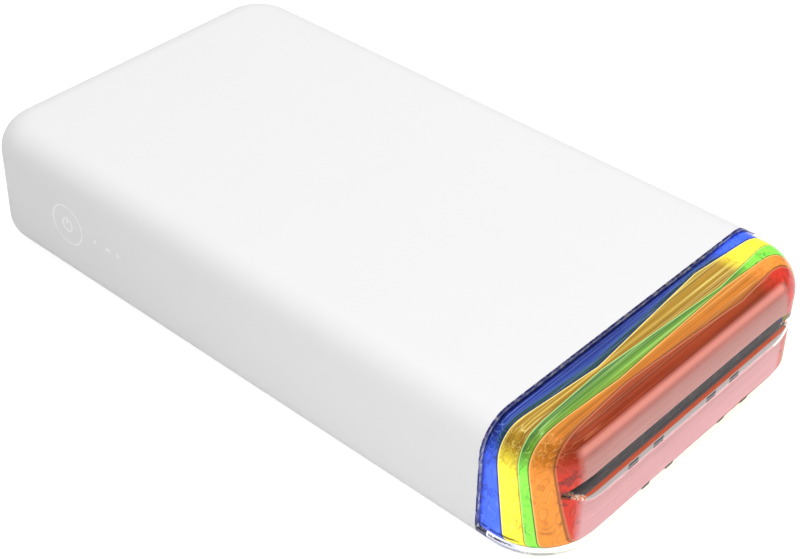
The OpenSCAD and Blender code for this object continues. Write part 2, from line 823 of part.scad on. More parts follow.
module idler_studs() {
  color([0.8, 0.8, 0.82]) for (e = [[feed_c, near_y0], [link_c, far_y0]]) {
    rod_y(e[0], stud_r, e[1] - 0.3, plate_y1);
    rod_y(e[0], 1.8, e[1] - 0.8, e[1] - 0.1);
    rod_y(e[0], 1.8, near_y1 + 0.05, plate_y0);
  }
}

module motor(c, ya) {
  difference() {
    rod_y(c, can_r, ya, -12);
    rod_y(c, 2, ya - 0.1, ya + 0.1);
  }
  rod_y(c, 2.4, plate_y1 - 0.8, ya + 0.2);
  rod_y(c, 2.2, -12.1, -11);
}

module feed_motor() {
  color([0.62, 0.63, 0.66]) motor(motor_c, plate_y1 + 0.02);
}

module feed_pinion() {
  color([0.8, 0.65, 0.3]) {
    gear(motor_c, n_motor, ph_motor, far_y0, far_y1, pinion_r);
    rod_y(motor_c, pinion_r, far_y0, plate_y0 - 0.05);
  }
}

module cam_motor() {
  color([0.62, 0.63, 0.66]) motor(cam_motor_c, plate_y1 + 0.02);
}

module cam_pinion() {
  color([0.9, 0.88, 0.8]) {
    gear(cam_motor_c, n_cam_motor, ph_cam_motor, near_y0, near_y1, pinion_r);
    rod_y(cam_motor_c, pinion_r, near_y0, plate_y0 - 0.05);
  }
}

module cam_shaft() {
  color([0.8, 0.8, 0.82]) {
    rod_y(cam_c, shaft_r, near_y0, -5.3);
    along_y(-11, -8.6) translate(cam_c) polygon(concat(
      [for (t = [-24:6:cam_turn + 24]) cam_pt(t)],
      [for (t = [cam_turn + 36:12:324]) 2.4 * turned(unit(pitch(0)), -t)]
    ));
  }
}
function unit(v) = v / norm(v);

module cam_gear() {
  color([0.9, 0.88, 0.8]) gear(cam_c, n_cam, 0, near_y0, near_y1, shaft_r);
}

// ---------- print head ----------

module arm_shaft() {
  color([0.8, 0.8, 0.82]) rod_y(arm_c, stud_r, plate_y0, 30.05);
}

module head_arm() {
  color([0.7, 0.71, 0.73]) difference() {
    union() {
      translate([arm_x - 1, -web_half, arm_z + 0.6]) cube([33.4, 2 * web_half, 0.9]);
      for (y = [-web_half, -9.8 - 0.6, web_half - 1]) rod_y(arm_c, stud_r + 0.9, y, y + 1);
      along_y(-10.4, -9.4) polygon([[arm_x + 8, 24.3], [arm_x + 1.6, 22.6], [cam_x + 0.5, tail_c[1] - 0.8],
        [cam_x - 0.6, tail_c[1] + 0.5], [cam_x + 2, 22.8], [arm_x - 1, 25], [arm_x + 8, 25]]);
      rod_y(tail_c, tail_r, -11, -8.6);
      for (s = [-1, 1]) translate([26.4, s > 0 ? web_half - 0.9 : -web_half, 17]) cube([9.8, 0.9, 7.3]);
    }
    rod_y(arm_c, stud_r + fit, -40, 40);
  }
}

module heat_sink() {
  color([0.8, 0.81, 0.83]) difference() {
    translate([26.6, -web_half + 0.95, 16.4]) cube([9.4, 2 * web_half - 1.9, 7.75]);
    for (i = [0:3]) translate([27.9 + i * 2, -web_half, 18.4]) cube([0.9, 2 * web_half, 7]);
  }
}

module print_head() {
  color([0.92, 0.9, 0.85]) {
    translate([26.6, -web_half + 0.95, head_zero + 0.2]) cube([7, 2 * web_half - 1.9, 1]);
    intersection() {
      along_y(-web_half + 1.6, web_half - 1.6) disc2([31, head_zero + 3], 3);
      translate([26, -web_half, head_zero]) cube([10, 2 * web_half, 0.5]);
    }
  }
}

// ---------- cartridge ----------

tray_x1 = 24.4;
tray_x0 = tray_x1 - card_len - 2.8;
cart_y0 = -28.6;
cart_y1 = 30.2;
tray_z0 = base_z + 0.95;
tray_z1 = 7.9;
wall_y0 = -27.5;
wall_y1 = 28.4;
rod_a = [23.7, 13.2];
rod_b = [37.4, 13.4];
film_z = rod_a[1] - 0.75;

module cartridge_tray() {
  color([0.55, 0.57, 0.6]) difference() {
    translate([tray_x0, cart_y0, tray_z0]) cube([tray_x1 - tray_x0, cart_y1 - cart_y0, tray_z1 - tray_z0]);
    translate([tray_x0 + 0.9, -card_w / 2 - 0.4, tray_z0 + 0.8])
      cube([tray_x1 - tray_x0 - 1.8, card_w + 0.8, 10]);
    translate([tray_x1 - 2, -card_w / 2 - 0.4, tray_z1 - 0.9]) cube([4, card_w + 0.8, 4]);
  }
}

module card_stack() {
  color([0.97, 0.97, 0.97]) translate([tray_x0 + 1.2, -card_w / 2, tray_z0 + 0.8])
    cube([card_len, card_w, 2.9]);
}

module end_wall(ya, yb, bar_top) {
  along_y(ya, yb) difference() {
    union() {
      disc2(supply_c, tube_r);
      disc2(takeup_c, tube_r);
      translate([supply_c[0] - tube_r + 0.4, tray_z1]) square([2 * tube_r - 0.8, supply_c[1] - tray_z1]);
      translate([supply_c[0], 12.8]) square([takeup_c[0] - supply_c[0], bar_top - 12.8]);
      translate([takeup_c[0] - 5, 12.8]) square([5.6, 6]);
    }
    disc2(supply_c, 1.9 + fit);
    disc2(takeup_c, 1.9 + fit);
  }
}

module tube(c, a0) {
  along_y(wall_y0, wall_y1) difference() {
    disc2(c, tube_r);
    disc2(c, tube_r - 0.5);
    translate(c) rotate(a0) translate([0, -1.4]) square([8, 2.8]);
  }
}

module ribbon_frame() {
  color([0.5, 0.52, 0.55]) {
    end_wall(cart_y0, wall_y0 + 0.01, 14.8);
    end_wall(wall_y1 - 0.01, cart_y1, 20);
    tube(supply_c, -50);
    tube(takeup_c, -149);
    rod_y(rod_a, 0.6, wall_y0, wall_y1);
    rod_y(rod_b, 0.6, wall_y0, wall_y1);
  }
}

module strip(a, b, t) {
  v = b - a;
  translate(a) rotate(atan2(v[1], v[0])) translate([0, -t / 2]) square([norm(v), t]);
}

// points where the film leaves the rolls
film_a = supply_c + (supply_r + 0.06) * [cos(-58), sin(-58)];
film_k = [rod_b[0] + 0.72, film_z];
film_b = takeup_c + (takeup_r + 0.06) * [cos(-172), sin(-172)];
module ribbon_film() {
  color([0.15, 0.1, 0.12]) along_y(-25.5, 25.5) {
    strip(film_a, [rod_a[0], film_z], 0.06);
    strip([rod_a[0], film_z], film_k, 0.06);
    strip(film_k, film_b, 0.06);
  }
}

module spool(c, r) {
  rod_y(c, r, -26, 26);
  difference() {
    rod_y(c, 1.9, cart_y0, cart_y1);
    rod_y(c, shaft_r + slip, cart_y0 - 1, -26.5);
  }
}

module supply_spool() {
  color([0.2, 0.12, 0.15]) spool(supply_c, supply_r);
}

module takeup_spool() {
  color([0.2, 0.12, 0.15]) spool(takeup_c, takeup_r);
}

module supply_hub() {
  color([0.8, 0.8, 0.82]) {
    rod_y(supply_c, 1, plate_y0 - 0.45, -29.4);
    rod_y(supply_c, shaft_r, plate_y1 + 0.1, -26.6);
    rod_y(supply_c, 2.6, plate_y1 + 0.1, -29.2);
    rod_y(supply_c, 1.6, plate_y0 - 0.45, plate_y0 - 0.1);
  }
}

module takeup_gear() {
  color([0.9, 0.88, 0.8]) {
    gear(takeup_c, n_takeup, ph_takeup, far_y0, far_y1, 1.1);
    rod_y(takeup_c, shaft_r, far_y0, -26.6);
    rod_y(takeup_c, 2, far_y1 - 0.01, near_y0 - 0.1);
  }
}

top_case();
bottom_cover();
rubber_feet();
case_screws();
cartridge_door();
door_pins();
door_pad();
door_magnet();
case_magnet();
power_button();
light_guide();
button_board();
usb_socket();
cap_shell();
tint_blue();
tint_yellow();
tint_green();
tint_orange();
tint_red();
slot_lip();
slot_tunnel();
cap_backplate();
chassis();
side_plate();
front_bracket();
rear_bracket();
platen_shaft();
platen_rubber();
platen_gear();
capstan();
capstan_gear();
pinch_roller();
pickup_shaft();
pickup_tyre();
pickup_gear();
feed_idler();
link_idler();
feed_motor();
feed_pinion();
cam_motor();
cam_pinion();
cam_shaft();
cam_gear();
head_arm();
heat_sink();
print_head();
arm_shaft();
cartridge_tray();
card_stack();
ribbon_frame();
ribbon_film();
supply_spool();
takeup_spool();
supply_hub();
takeup_gear();
main_board();
board_parts();
battery();
battery_leads();
idler_studs();
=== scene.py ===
import math

import bpy
import numpy as np
from mathutils import Matrix, Vector


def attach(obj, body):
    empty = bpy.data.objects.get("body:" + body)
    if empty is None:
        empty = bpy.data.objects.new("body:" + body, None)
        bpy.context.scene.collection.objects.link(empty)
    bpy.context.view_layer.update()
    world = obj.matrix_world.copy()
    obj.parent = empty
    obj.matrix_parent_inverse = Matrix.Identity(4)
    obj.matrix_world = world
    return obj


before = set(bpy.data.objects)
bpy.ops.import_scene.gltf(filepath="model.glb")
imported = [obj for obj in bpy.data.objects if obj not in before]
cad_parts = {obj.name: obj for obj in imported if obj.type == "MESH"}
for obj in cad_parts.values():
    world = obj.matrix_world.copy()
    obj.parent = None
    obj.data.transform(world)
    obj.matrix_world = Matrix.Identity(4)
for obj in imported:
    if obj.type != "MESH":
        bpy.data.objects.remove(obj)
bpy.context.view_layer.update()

# ---- Camera ------------------------------------------------------------------
# The photograph is a crop of a longer shot, taken from in front and above, so
# the lens axis lies a little above and left of the picture's centre.
CAM_AZ, CAM_EL, CAM_ROLL = 42.26, 36.40, 0.73
CAM_DIST, CAM_LOOK_Z, CAM_CLIP = 0.34352, 0.0138, 0.01
CAM_F_PX, CAM_CX, CAM_CY = 1727.5, 379.3, 238.4
PHOTO_W, PHOTO_H, SENSOR_MM = 800, 559, 36.0


def place_camera():
    """A camera on a sphere round the look point: azimuth from -Y towards +X, elevation, then roll."""
    az, el, ro = (math.radians(v) for v in (CAM_AZ, CAM_EL, CAM_ROLL))
    back = np.array([math.sin(az) * math.cos(el), -math.cos(az) * math.cos(el), math.sin(el)])
    level = np.array([math.cos(az), math.sin(az), 0.0])
    rise = np.cross(back, level)
    right = level * math.cos(ro) + rise * math.sin(ro)
    up = rise * math.cos(ro) - level * math.sin(ro)
    at = np.array([0, 0, CAM_LOOK_Z]) + back * CAM_DIST
    data = bpy.data.cameras.new("camera")
    data.sensor_width = SENSOR_MM
    data.lens = CAM_F_PX / PHOTO_W * SENSOR_MM
    data.shift_x = (PHOTO_W / 2 - CAM_CX) / PHOTO_W
    data.shift_y = (CAM_CY - PHOTO_H / 2) / PHOTO_W
    data.clip_start = CAM_CLIP
    cam = bpy.data.objects.new("camera", data)
    rows = [[right[i], up[i], back[i], at[i]] for i in range(3)]
    cam.matrix_world = Matrix(rows + [[0, 0, 0, 1]])
    bpy.context.scene.collection.objects.link(cam)
    bpy.context.scene.camera = cam


place_camera()

# ---- White top case ----------------------------------------------------------
# The big shell: top and sides in one piece of white ABS with a fine satin
# grain. It is injection moulded, and four screws come up from below.
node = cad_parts
MM = 0.001
MM_PER_M = 1000.0


class Knot:
    """One socket of a node tree. Arithmetic on it adds Math nodes and gives the next Knot."""

    def __init__(self, tree, sock):
        self.tree, self.sock = tree, sock

    def math(self, op, *others):
        """A Math node with this Knot first and other Knots or numbers after it."""
        n = self.tree.nodes.new("ShaderNodeMath")
        n.operation = op
        for i, v in enumerate((self, *others)):
            if isinstance(v, Knot):
                self.tree.links.new(v.sock, n.inputs[i])
            else:
                n.inputs[i].default_value = v
        return Knot(self.tree, n.outputs[0])

    def flip(self, op, other):
        """A Math node with a number first and this Knot second, as 1 - mask needs."""
        n = self.tree.nodes.new("ShaderNodeMath")
        n.operation = op
        n.inputs[0].default_value = other
        self.tree.links.new(self.sock, n.inputs[1])
        return Knot(self.tree, n.outputs[0])

    def __add__(self, o): return self.math("ADD", o)
    def __radd__(self, o): return self.flip("ADD", o)
    def __sub__(self, o): return self.math("SUBTRACT", o)
    def __rsub__(self, o): return self.flip("SUBTRACT", o)
    def __mul__(self, o): return self.math("MULTIPLY", o)
    def __rmul__(self, o): return self.flip("MULTIPLY", o)
    def __truediv__(self, o): return self.math("DIVIDE", o)

    def clip(self): return self.math("MAXIMUM", 0.0).math("MINIMUM", 1.0)
    def size(self): return self.math("ABSOLUTE")
    def fraction(self): return self.math("FRACT")

    def wave(self, length):
        """A sine of that wavelength, from 0 to 1."""
        return (self * (2 * math.pi / length)).math("SINE") * 0.5 + 0.5

    def ramp(self, lo, hi):
        """0 below lo, 1 above hi, straight between."""
        return ((self - lo) / (hi - lo)).clip()

    def within(self, lo, hi, soft=0.03):
        """1 between lo and hi, 0 outside, with edges soft wide."""
        return self.ramp(lo - soft, lo + soft) * (1 - self.ramp(hi - soft, hi + soft))

    def near(self, centres, half, soft):
        """1 within half of any of the centres."""
        return sum((self.within(c - half, c + half, soft) for c in centres), self * 0.0)

    def apart(self, other):
        """Distance from an axis: the root of the sum of the squares of two offsets across it."""
        return (self * self + other * other).math("SQRT")


def rgba(color):
    """A Knot as it is, or a plain colour with its alpha."""
    return color if isinstance(color, Knot) else (*color, 1.0)


class Finish:
    """A material round one Principled shader. part() adds any node and gives its outputs as Knots."""

    def __init__(self, name, color, rough, **set_on_shader):
        self.mat = bpy.data.materials.new(name)
        self.mat.use_nodes = True
        self.tree = self.mat.node_tree
        self.bsdf = self.tree.nodes["Principled BSDF"]
        self.set("Base Color", rgba(color))
        self.set("Roughness", rough)
        for key, value in set_on_shader.items():
            self.set(key.replace("_", " "), value)
        self.place = self.part("ShaderNodeTexCoord")["Object"]

    def set(self, socket, value):
        if isinstance(value, Knot):
            self.tree.links.new(value.sock, self.bsdf.inputs[socket])
        else:
            self.bsdf.inputs[socket].default_value = value

    def part(self, kind, settings=None, **inputs):
        """Any node: its type, its settings, then its sockets by name, or by number as i0, i1."""
        n = self.tree.nodes.new(kind)
        for key, value in (settings or {}).items():
            if key == "stops":
                while len(n.color_ramp.elements) < len(value):
                    n.color_ramp.elements.new(0.5)
                for stop, (pos, col) in zip(n.color_ramp.elements, value):
                    stop.position, stop.color = pos, rgba(col)
            else:
                setattr(n, key, value)
        for key, value in inputs.items():
            by_number = key[0] == "i" and key[1:].isdigit()
            sock = n.inputs[int(key[1:]) if by_number else key.replace("_", " ")]
            if isinstance(value, Knot):
                self.tree.links.new(value.sock, sock)
            else:
                sock.default_value = value
        return {o.name: Knot(self.tree, o) for o in n.outputs if o.enabled}

    def xyz(self):
        """The place on the object, in millimetres."""
        got = self.part("ShaderNodeSeparateXYZ", Vector=self.place)
        return got["X"] * MM_PER_M, got["Y"] * MM_PER_M, got["Z"] * MM_PER_M

    def noise(self, size_mm, detail=2.0, rough=0.5, vector=None):
        """Noise whose lumps are about size_mm across, from 0 to 1."""
        return self.part("ShaderNodeTexNoise", None, Vector=vector or self.place,
                         Scale=MM_PER_M / size_mm, Detail=detail, Roughness=rough)["Fac"]

    def cells(self, size_mm, output="Distance"):
        """Cells about size_mm across: the distance from each cell's middle, or its own colour."""
        return self.part("ShaderNodeTexVoronoi", {"feature": "F1"}, Vector=self.place,
                         Scale=MM_PER_M / size_mm)[output]

    def blend(self, factor, a, b):
        """Colour a where factor is 0, colour b where it is 1."""
        return self.part("ShaderNodeMix", {"data_type": "RGBA"}, i0=factor, i6=rgba(a),
                         i7=rgba(b))["Result"]

    def shade(self, color, factor):
        """A colour made darker or lighter: every channel times factor."""
        grey = self.part("ShaderNodeCombineColor", None, Red=factor, Green=factor, Blue=factor)["Color"]
        return self.part("ShaderNodeMix", {"data_type": "RGBA", "blend_type": "MULTIPLY"}, i0=1.0,
                         i6=rgba(color), i7=grey)["Result"]

    def stops(self, factor, colors):
        """The colour that a ramp of (place, colour) stops gives at factor."""
        return self.part("ShaderNodeValToRGB", {"stops": colors}, Fac=factor)["Color"]

    def stretched(self, sx, sy, sz):
        """The place on the object, scaled along each axis."""
        return self.part("ShaderNodeMapping", None, Vector=self.place, Scale=(sx, sy, sz))["Vector"]

    def bump(self, height, depth_mm):
        self.set("Normal", self.part("ShaderNodeBump", None, Height=height, Strength=1.0,
                                     Distance=depth_mm * MM)["Normal"])

    def from_outside(self, front):
        """Shows the shader front on faces seen from outside, and nothing on those seen from inside."""
        inner = self.part("ShaderNodeNewGeometry")["Backfacing"]
        gone = self.part("ShaderNodeBsdfTransparent")["BSDF"]
        shown = self.part("ShaderNodeMixShader", None, i0=inner, i1=front, i2=gone)["Shader"]
        self.tree.links.new(shown.sock, self.tree.nodes["Material Output"].inputs[0])

    def shader(self):
        """What the Principled shader gives."""
        return Knot(self.tree, self.bsdf.outputs[0])

    def paint(self, *objects):
        for o in objects:
            o.data.materials.clear()
            o.data.materials.append(self.mat)


def tone(r, g, b):
    """Linear light from a colour written as the screen shows it, 0 to 255."""
    return tuple(((c / 255 + 0.055) / 1.055) ** 2.4 if c > 10 else c / 255 / 12.92 for c in (r, g, b))


def moulded(name, color, rough=0.45, grain_mm=0.25, grain_depth=0.006, cloud=0.03):
    """Moulded plastic: spark-eroded grain in the bump and roughness, and a slow drift of tone."""
    f = Finish(name, color, rough)
    grain = f.noise(grain_mm, 3.0, 0.6)
    drift = f.noise(18.0, 2.0)
    f.tint = f.blend(drift, tuple(c * (1 - cloud) for c in color),
                     tuple(min(1.0, c * (1 + cloud)) for c in color))
    f.set("Base Color", f.tint)
    f.set("Roughness", rough - 0.06 + grain * 0.12)
    f.bump(grain, grain_depth)
    return f


WHITE = (0.90, 0.893, 0.904)
case_white = moulded("case_white", WHITE, rough=0.42, grain_mm=0.18, grain_depth=0.004, cloud=0.008)
case_white.paint(node["top_case"])

# ---- Bottom cover, feet and screws -------------------------------------------
# A flat cover of the same white ABS closes the case from below. Four rubber
# feet are glued in its recesses, and four socket screws hold it.
COVER_FACE_Z = (0.8, 0.9)
cover_white = moulded("cover_white", (0.86, 0.86, 0.87), rough=0.5, grain_mm=0.4, grain_depth=0.012,
                      cloud=0.012)
x, y, z = cover_white.xyz()
rubs = cover_white.noise(2.2, 4.0, 0.7).ramp(0.62, 0.8)
cover_white.set("Base Color", cover_white.blend((1 - z.ramp(*COVER_FACE_Z)) * rubs * 0.25,
                                                cover_white.tint, (0.62, 0.61, 0.60)))
cover_white.paint(node["bottom_cover"])

feet = Finish("foot_rubber", (0.035, 0.035, 0.037), 0.8)
dust = feet.noise(0.7, 4.0, 0.7)
feet.set("Base Color", feet.blend(dust.ramp(0.5, 0.85) * 0.5, (0.03, 0.03, 0.032), (0.12, 0.115, 0.11)))
feet.set("Roughness", 0.7 + dust * 0.2)
feet.bump(dust, 0.02)
feet.paint(node["rubber_feet"])


def steel(name, color, rough, grain=(1, 1, 1), size_mm=0.4, depth=0.002):
    """Bare metal with fine drawn lines: noise pulled out along one axis, in tone, roughness and bump."""
    f = Finish(name, color, rough, Metallic=1.0)
    lines = f.noise(size_mm, 3.0, 0.65, f.stretched(*grain))
    smear = f.noise(9.0, 3.0)
    f.tint = f.shade(color, 0.86 + lines * 0.2 + smear * 0.08)
    f.set("Base Color", f.tint)
    f.set("Roughness", rough - 0.08 + lines * 0.14 + smear * 0.06)
    f.bump(lines, depth)
    return f


steel("screw_steel", (0.42, 0.42, 0.43), 0.38, size_mm=0.3).paint(node["case_screws"])

# ---- Cartridge door ----------------------------------------------------------
# The long side opposite the button opens downwards on two steel pins. It has
# a foam pad that presses on the cartridge and a magnet that keeps it shut.
door_white = moulded("door_white", WHITE, rough=0.42, grain_mm=0.18, grain_depth=0.004, cloud=0.008)
door_white.paint(node["cartridge_door"])

steel("pin_steel", (0.66, 0.66, 0.67), 0.22, grain=(0.02, 1, 1), size_mm=0.2).paint(node["door_pins"])

FOAM_CELL = 0.55
foam = Finish("pad_foam", (0.05, 0.05, 0.055), 0.95)
cell = foam.cells(FOAM_CELL)
foam.set("Base Color", foam.blend(cell.ramp(0.1, 0.6), (0.02, 0.02, 0.022), (0.11, 0.11, 0.12)))
foam.bump(cell, 0.12)
foam.paint(node["door_pad"])

nickel = steel("magnet_nickel", (0.62, 0.61, 0.58), 0.16, size_mm=1.6, depth=0.001)
nickel.paint(node["door_magnet"], node["case_magnet"])

# ---- Power button and marks --------------------------------------------------
# A round white key, flush with the side and lit from behind: a thin ring at
# its rim and a power sign glow, and so do three marks of clear light guide.
BUTTON_X, BUTTON_Z, BUTTON_R = -47.8, 14.4, 4.5
KEY_FACE_Y, KEY_RIM_R = (-40.08, -40.0), (4.34, 4.48)
SIGN_ARC_R, SIGN_GAP_HALF, SIGN_BAR_HALF, SIGN_BAR_Z = (1.30, 1.54), 0.52, 0.12, (0.45, 1.80)
RING_IN, RING_OUT, RING_Y = 0.02, 0.09, (-40.05, -39.4)
key = moulded("button_white", WHITE, rough=0.40, grain_mm=0.18, grain_depth=0.003, cloud=0.008)
x, y, z = key.xyz()
dx, dz = x - BUTTON_X, z - BUTTON_Z
r = dx.apart(dz)
face = 1 - y.ramp(*KEY_FACE_Y)
sign_gap = dx.size().within(-1, SIGN_GAP_HALF, 0.04) * dz.ramp(0.0, 0.05)
arc = r.within(*SIGN_ARC_R, 0.04) * (1 - sign_gap)
bar = dx.size().within(-1, SIGN_BAR_HALF, 0.03) * dz.within(*SIGN_BAR_Z, 0.03)
lit = face * (arc.math("MAXIMUM", bar) + r.within(*KEY_RIM_R, 0.04)).clip()
key.set("Base Color", key.blend(lit, key.tint, (0.98, 0.98, 0.98)))
key.set("Emission Color", key.blend(lit, (0, 0, 0), (1, 1, 1)))
key.set("Emission Strength", 0.22)
key.paint(node["power_button"])


def ring_mesh(name, cx, cz, r0, r1, y0, y1, steps=96):
    """A square-sided ring about an axis along Y: its four corners turned through a full circle."""
    a = np.linspace(0, 2 * math.pi, steps, endpoint=False)[:, None]
    corners = np.array([(r0, y0), (r1, y0), (r1, y1), (r0, y1)])
    rr, yy = corners[:, 0][None, :], corners[:, 1][None, :]
    pts = np.stack([cx + rr * np.cos(a), yy + 0 * a, cz + rr * np.sin(a)], axis=-1) * MM
    i, j = np.meshgrid(np.arange(steps), np.arange(4), indexing="ij")
    i2, j2 = (i + 1) % steps, (j + 1) % 4
    quads = np.stack([i * 4 + j, i2 * 4 + j, i2 * 4 + j2, i * 4 + j2], axis=-1).reshape(-1, 4)
    mesh = bpy.data.meshes.new(name)
    mesh.from_pydata(pts.reshape(-1, 3).tolist(), [], quads.tolist())
    mesh.validate()
    ob = bpy.data.objects.new(name, mesh)
    bpy.context.scene.collection.objects.link(ob)
    return ob


guide = Finish("light_guide", (0.93, 0.94, 0.95), 0.25, Emission_Color=(1, 1, 1, 1),
               Emission_Strength=0.16)
frost = guide.noise(0.3, 2.0)
guide.set("Base Color", guide.blend(frost, (0.88, 0.89, 0.9), (0.96, 0.97, 0.98)))
guide.set("Roughness", 0.2 + frost * 0.15)
guide.paint(node["light_guide"])
glow_ring = ring_mesh("button_glow_ring", BUTTON_X, BUTTON_Z, BUTTON_R + RING_IN, BUTTON_R + RING_OUT,
                      *RING_Y)
guide.paint(glow_ring)
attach(glow_ring, "printer")

KEY_BOARD_NEAR_Y, KEY_BOARD_FAR_Y, KEY_TRACKS_Z = (-35.62, -35.58), (-34.0, -33.9), (10, 18)
solder = Finish("key_board_green", (0.02, 0.14, 0.06), 0.35)
x, y, z = solder.xyz()
track = x.wave(1.6).ramp(0.86, 0.94) * z.within(*KEY_TRACKS_Z)
track = track.math("MAXIMUM", z.wave(2.3).ramp(0.9, 0.96))
part_on = (1 - y.ramp(*KEY_BOARD_NEAR_Y)).math("MAXIMUM", y.ramp(*KEY_BOARD_FAR_Y))
mask = solder.blend(track * 0.6, (0.015, 0.12, 0.05), (0.03, 0.22, 0.09))
solder.set("Base Color", solder.blend(part_on, mask, (0.55, 0.55, 0.56)))
solder.set("Metallic", part_on * 0.8)
solder.bump(track, 0.02)
solder.paint(node["button_board"])

# ---- USB socket --------------------------------------------------------------
# A deep-drawn stainless shell with a black tongue that carries the contacts,
# soldered to the main board and let into the rear wall.
TONGUE_Z, TONGUE_HALF_Y = (15.84, 16.56), 2.82
CONTACT_PITCH, CONTACTS_HALF_Y = 0.5, 2.4
usb = steel("socket_steel", (0.66, 0.66, 0.67), 0.2, grain=(0.03, 1, 1), size_mm=0.25)
x, y, z = usb.xyz()
tongue = z.within(*TONGUE_Z, 0.02) * y.size().within(-1, TONGUE_HALF_Y, 0.02)
contact = tongue * y.wave(CONTACT_PITCH).ramp(0.5, 0.6) * y.size().within(-1, CONTACTS_HALF_Y)
shown = usb.blend(tongue, usb.tint, (0.02, 0.02, 0.022))
usb.set("Base Color", usb.blend(contact, shown, (0.85, 0.62, 0.28)))
usb.set("Metallic", (1 - tongue * (1 - contact)).clip())
usb.paint(node["usb_socket"])

# ---- Clear front cap ---------------------------------------------------------
# A thick clear polycarbonate shell, polished and clipped over the front of the
# case, with the slot cut through. It lies on the layers: light bends going in only.
LAP_X = (59.45, 59.6)
DASH_YS, DASH_HALF, DASH_Z, DASH_X = (-13.1, -6.1, 10.1, 17.6), 1.25, (5.25, 6.0), (74.6, 74.9)
BROKEN_BAND_HIGH_Z, BROKEN_BAND_HIGH_X = (4.3, 5.1), (66.0, 68.0)
BROKEN_BAND_LOW_Z, BROKEN_BAND_LOW_X = (2.9, 4.0), (72.0, 74.5)
RIM_Z = (3.0, 3.6)
clear = Finish("cap_clear", (1.0, 1.0, 1.0), 0.03, Transmission_Weight=1.0, IOR=1.28)
haze = clear.noise(1.6, 3.0)
clear.set("Roughness", 0.015 + haze.ramp(0.55, 0.8) * 0.035)
clear.bump(clear.noise(7.0, 1.0), 0.02)
x, y, z = clear.xyz()
speckle = clear.noise(1.1, 3.0, 0.7)
lap = (1 - x.ramp(*LAP_X)) * (0.6 + speckle.ramp(0.42, 0.5) * 0.4)
# Dark dashes low on the front are painted refractions: images of dark marks behind the clear front,
# painted on.
refracted_dashes = y.near(DASH_YS, DASH_HALF, 0.15) * z.within(*DASH_Z, 0.1) * x.ramp(*DASH_X)
# Two broken dark bands run low along the sides.
broken_band_high = z.within(*BROKEN_BAND_HIGH_Z, 0.12) * speckle.ramp(0.42, 0.48) * (1 - x.ramp(*BROKEN_BAND_HIGH_X))
broken_band_low = z.within(*BROKEN_BAND_LOW_Z, 0.12) * speckle.ramp(0.36, 0.44) * (1 - x.ramp(*BROKEN_BAND_LOW_X))
# The lowest part of the shell is painted darker: painted shade along the bottom edge.
rim = (1 - z.ramp(*RIM_Z)) * 0.5
painted_shade_and_dark_marks = refracted_dashes.math("MAXIMUM", broken_band_high).math("MAXIMUM", broken_band_low * 0.8).math("MAXIMUM", rim)
shown = clear.blend(lap, (1.0, 1.0, 1.0), tone(34, 40, 112))
clear.set("Base Color", clear.blend(painted_shade_and_dark_marks.clip(), shown, tone(22, 20, 22)))
clear.from_outside(clear.shader())
clear.paint(node["cap_shell"])

# ---- Tinted layers in the cap ------------------------------------------------
# Five rings of dyed clear plastic, folded in plan, slide into the shell one in
# front of the other. The sides are painted vivid, as lit, with a painted glow, and over the dark
# engine the top is painted deep, as shaded, with fine streaks along the seam and painted highlights.
FOLD_Y = (-45.0, -14.0, 19.0, 45.0)
FOLD_X = ((55.0, 55.0, 55.0, 55.0), (61.8, 64.2, 61.4, 63.6), (66.2, 65.0, 66.9, 65.0),
          (67.2, 68.6, 67.5, 68.7), (71.3, 69.8, 71.2, 69.7), (80.0, 80.0, 80.0, 80.0))
LEAN, LEAN_Z = math.radians(7), 14.0
FIRST_TO_SEAM, LAST_TO_FRONT = 4.1, 5.6
GLOW_Z = (2.5, 5.5)


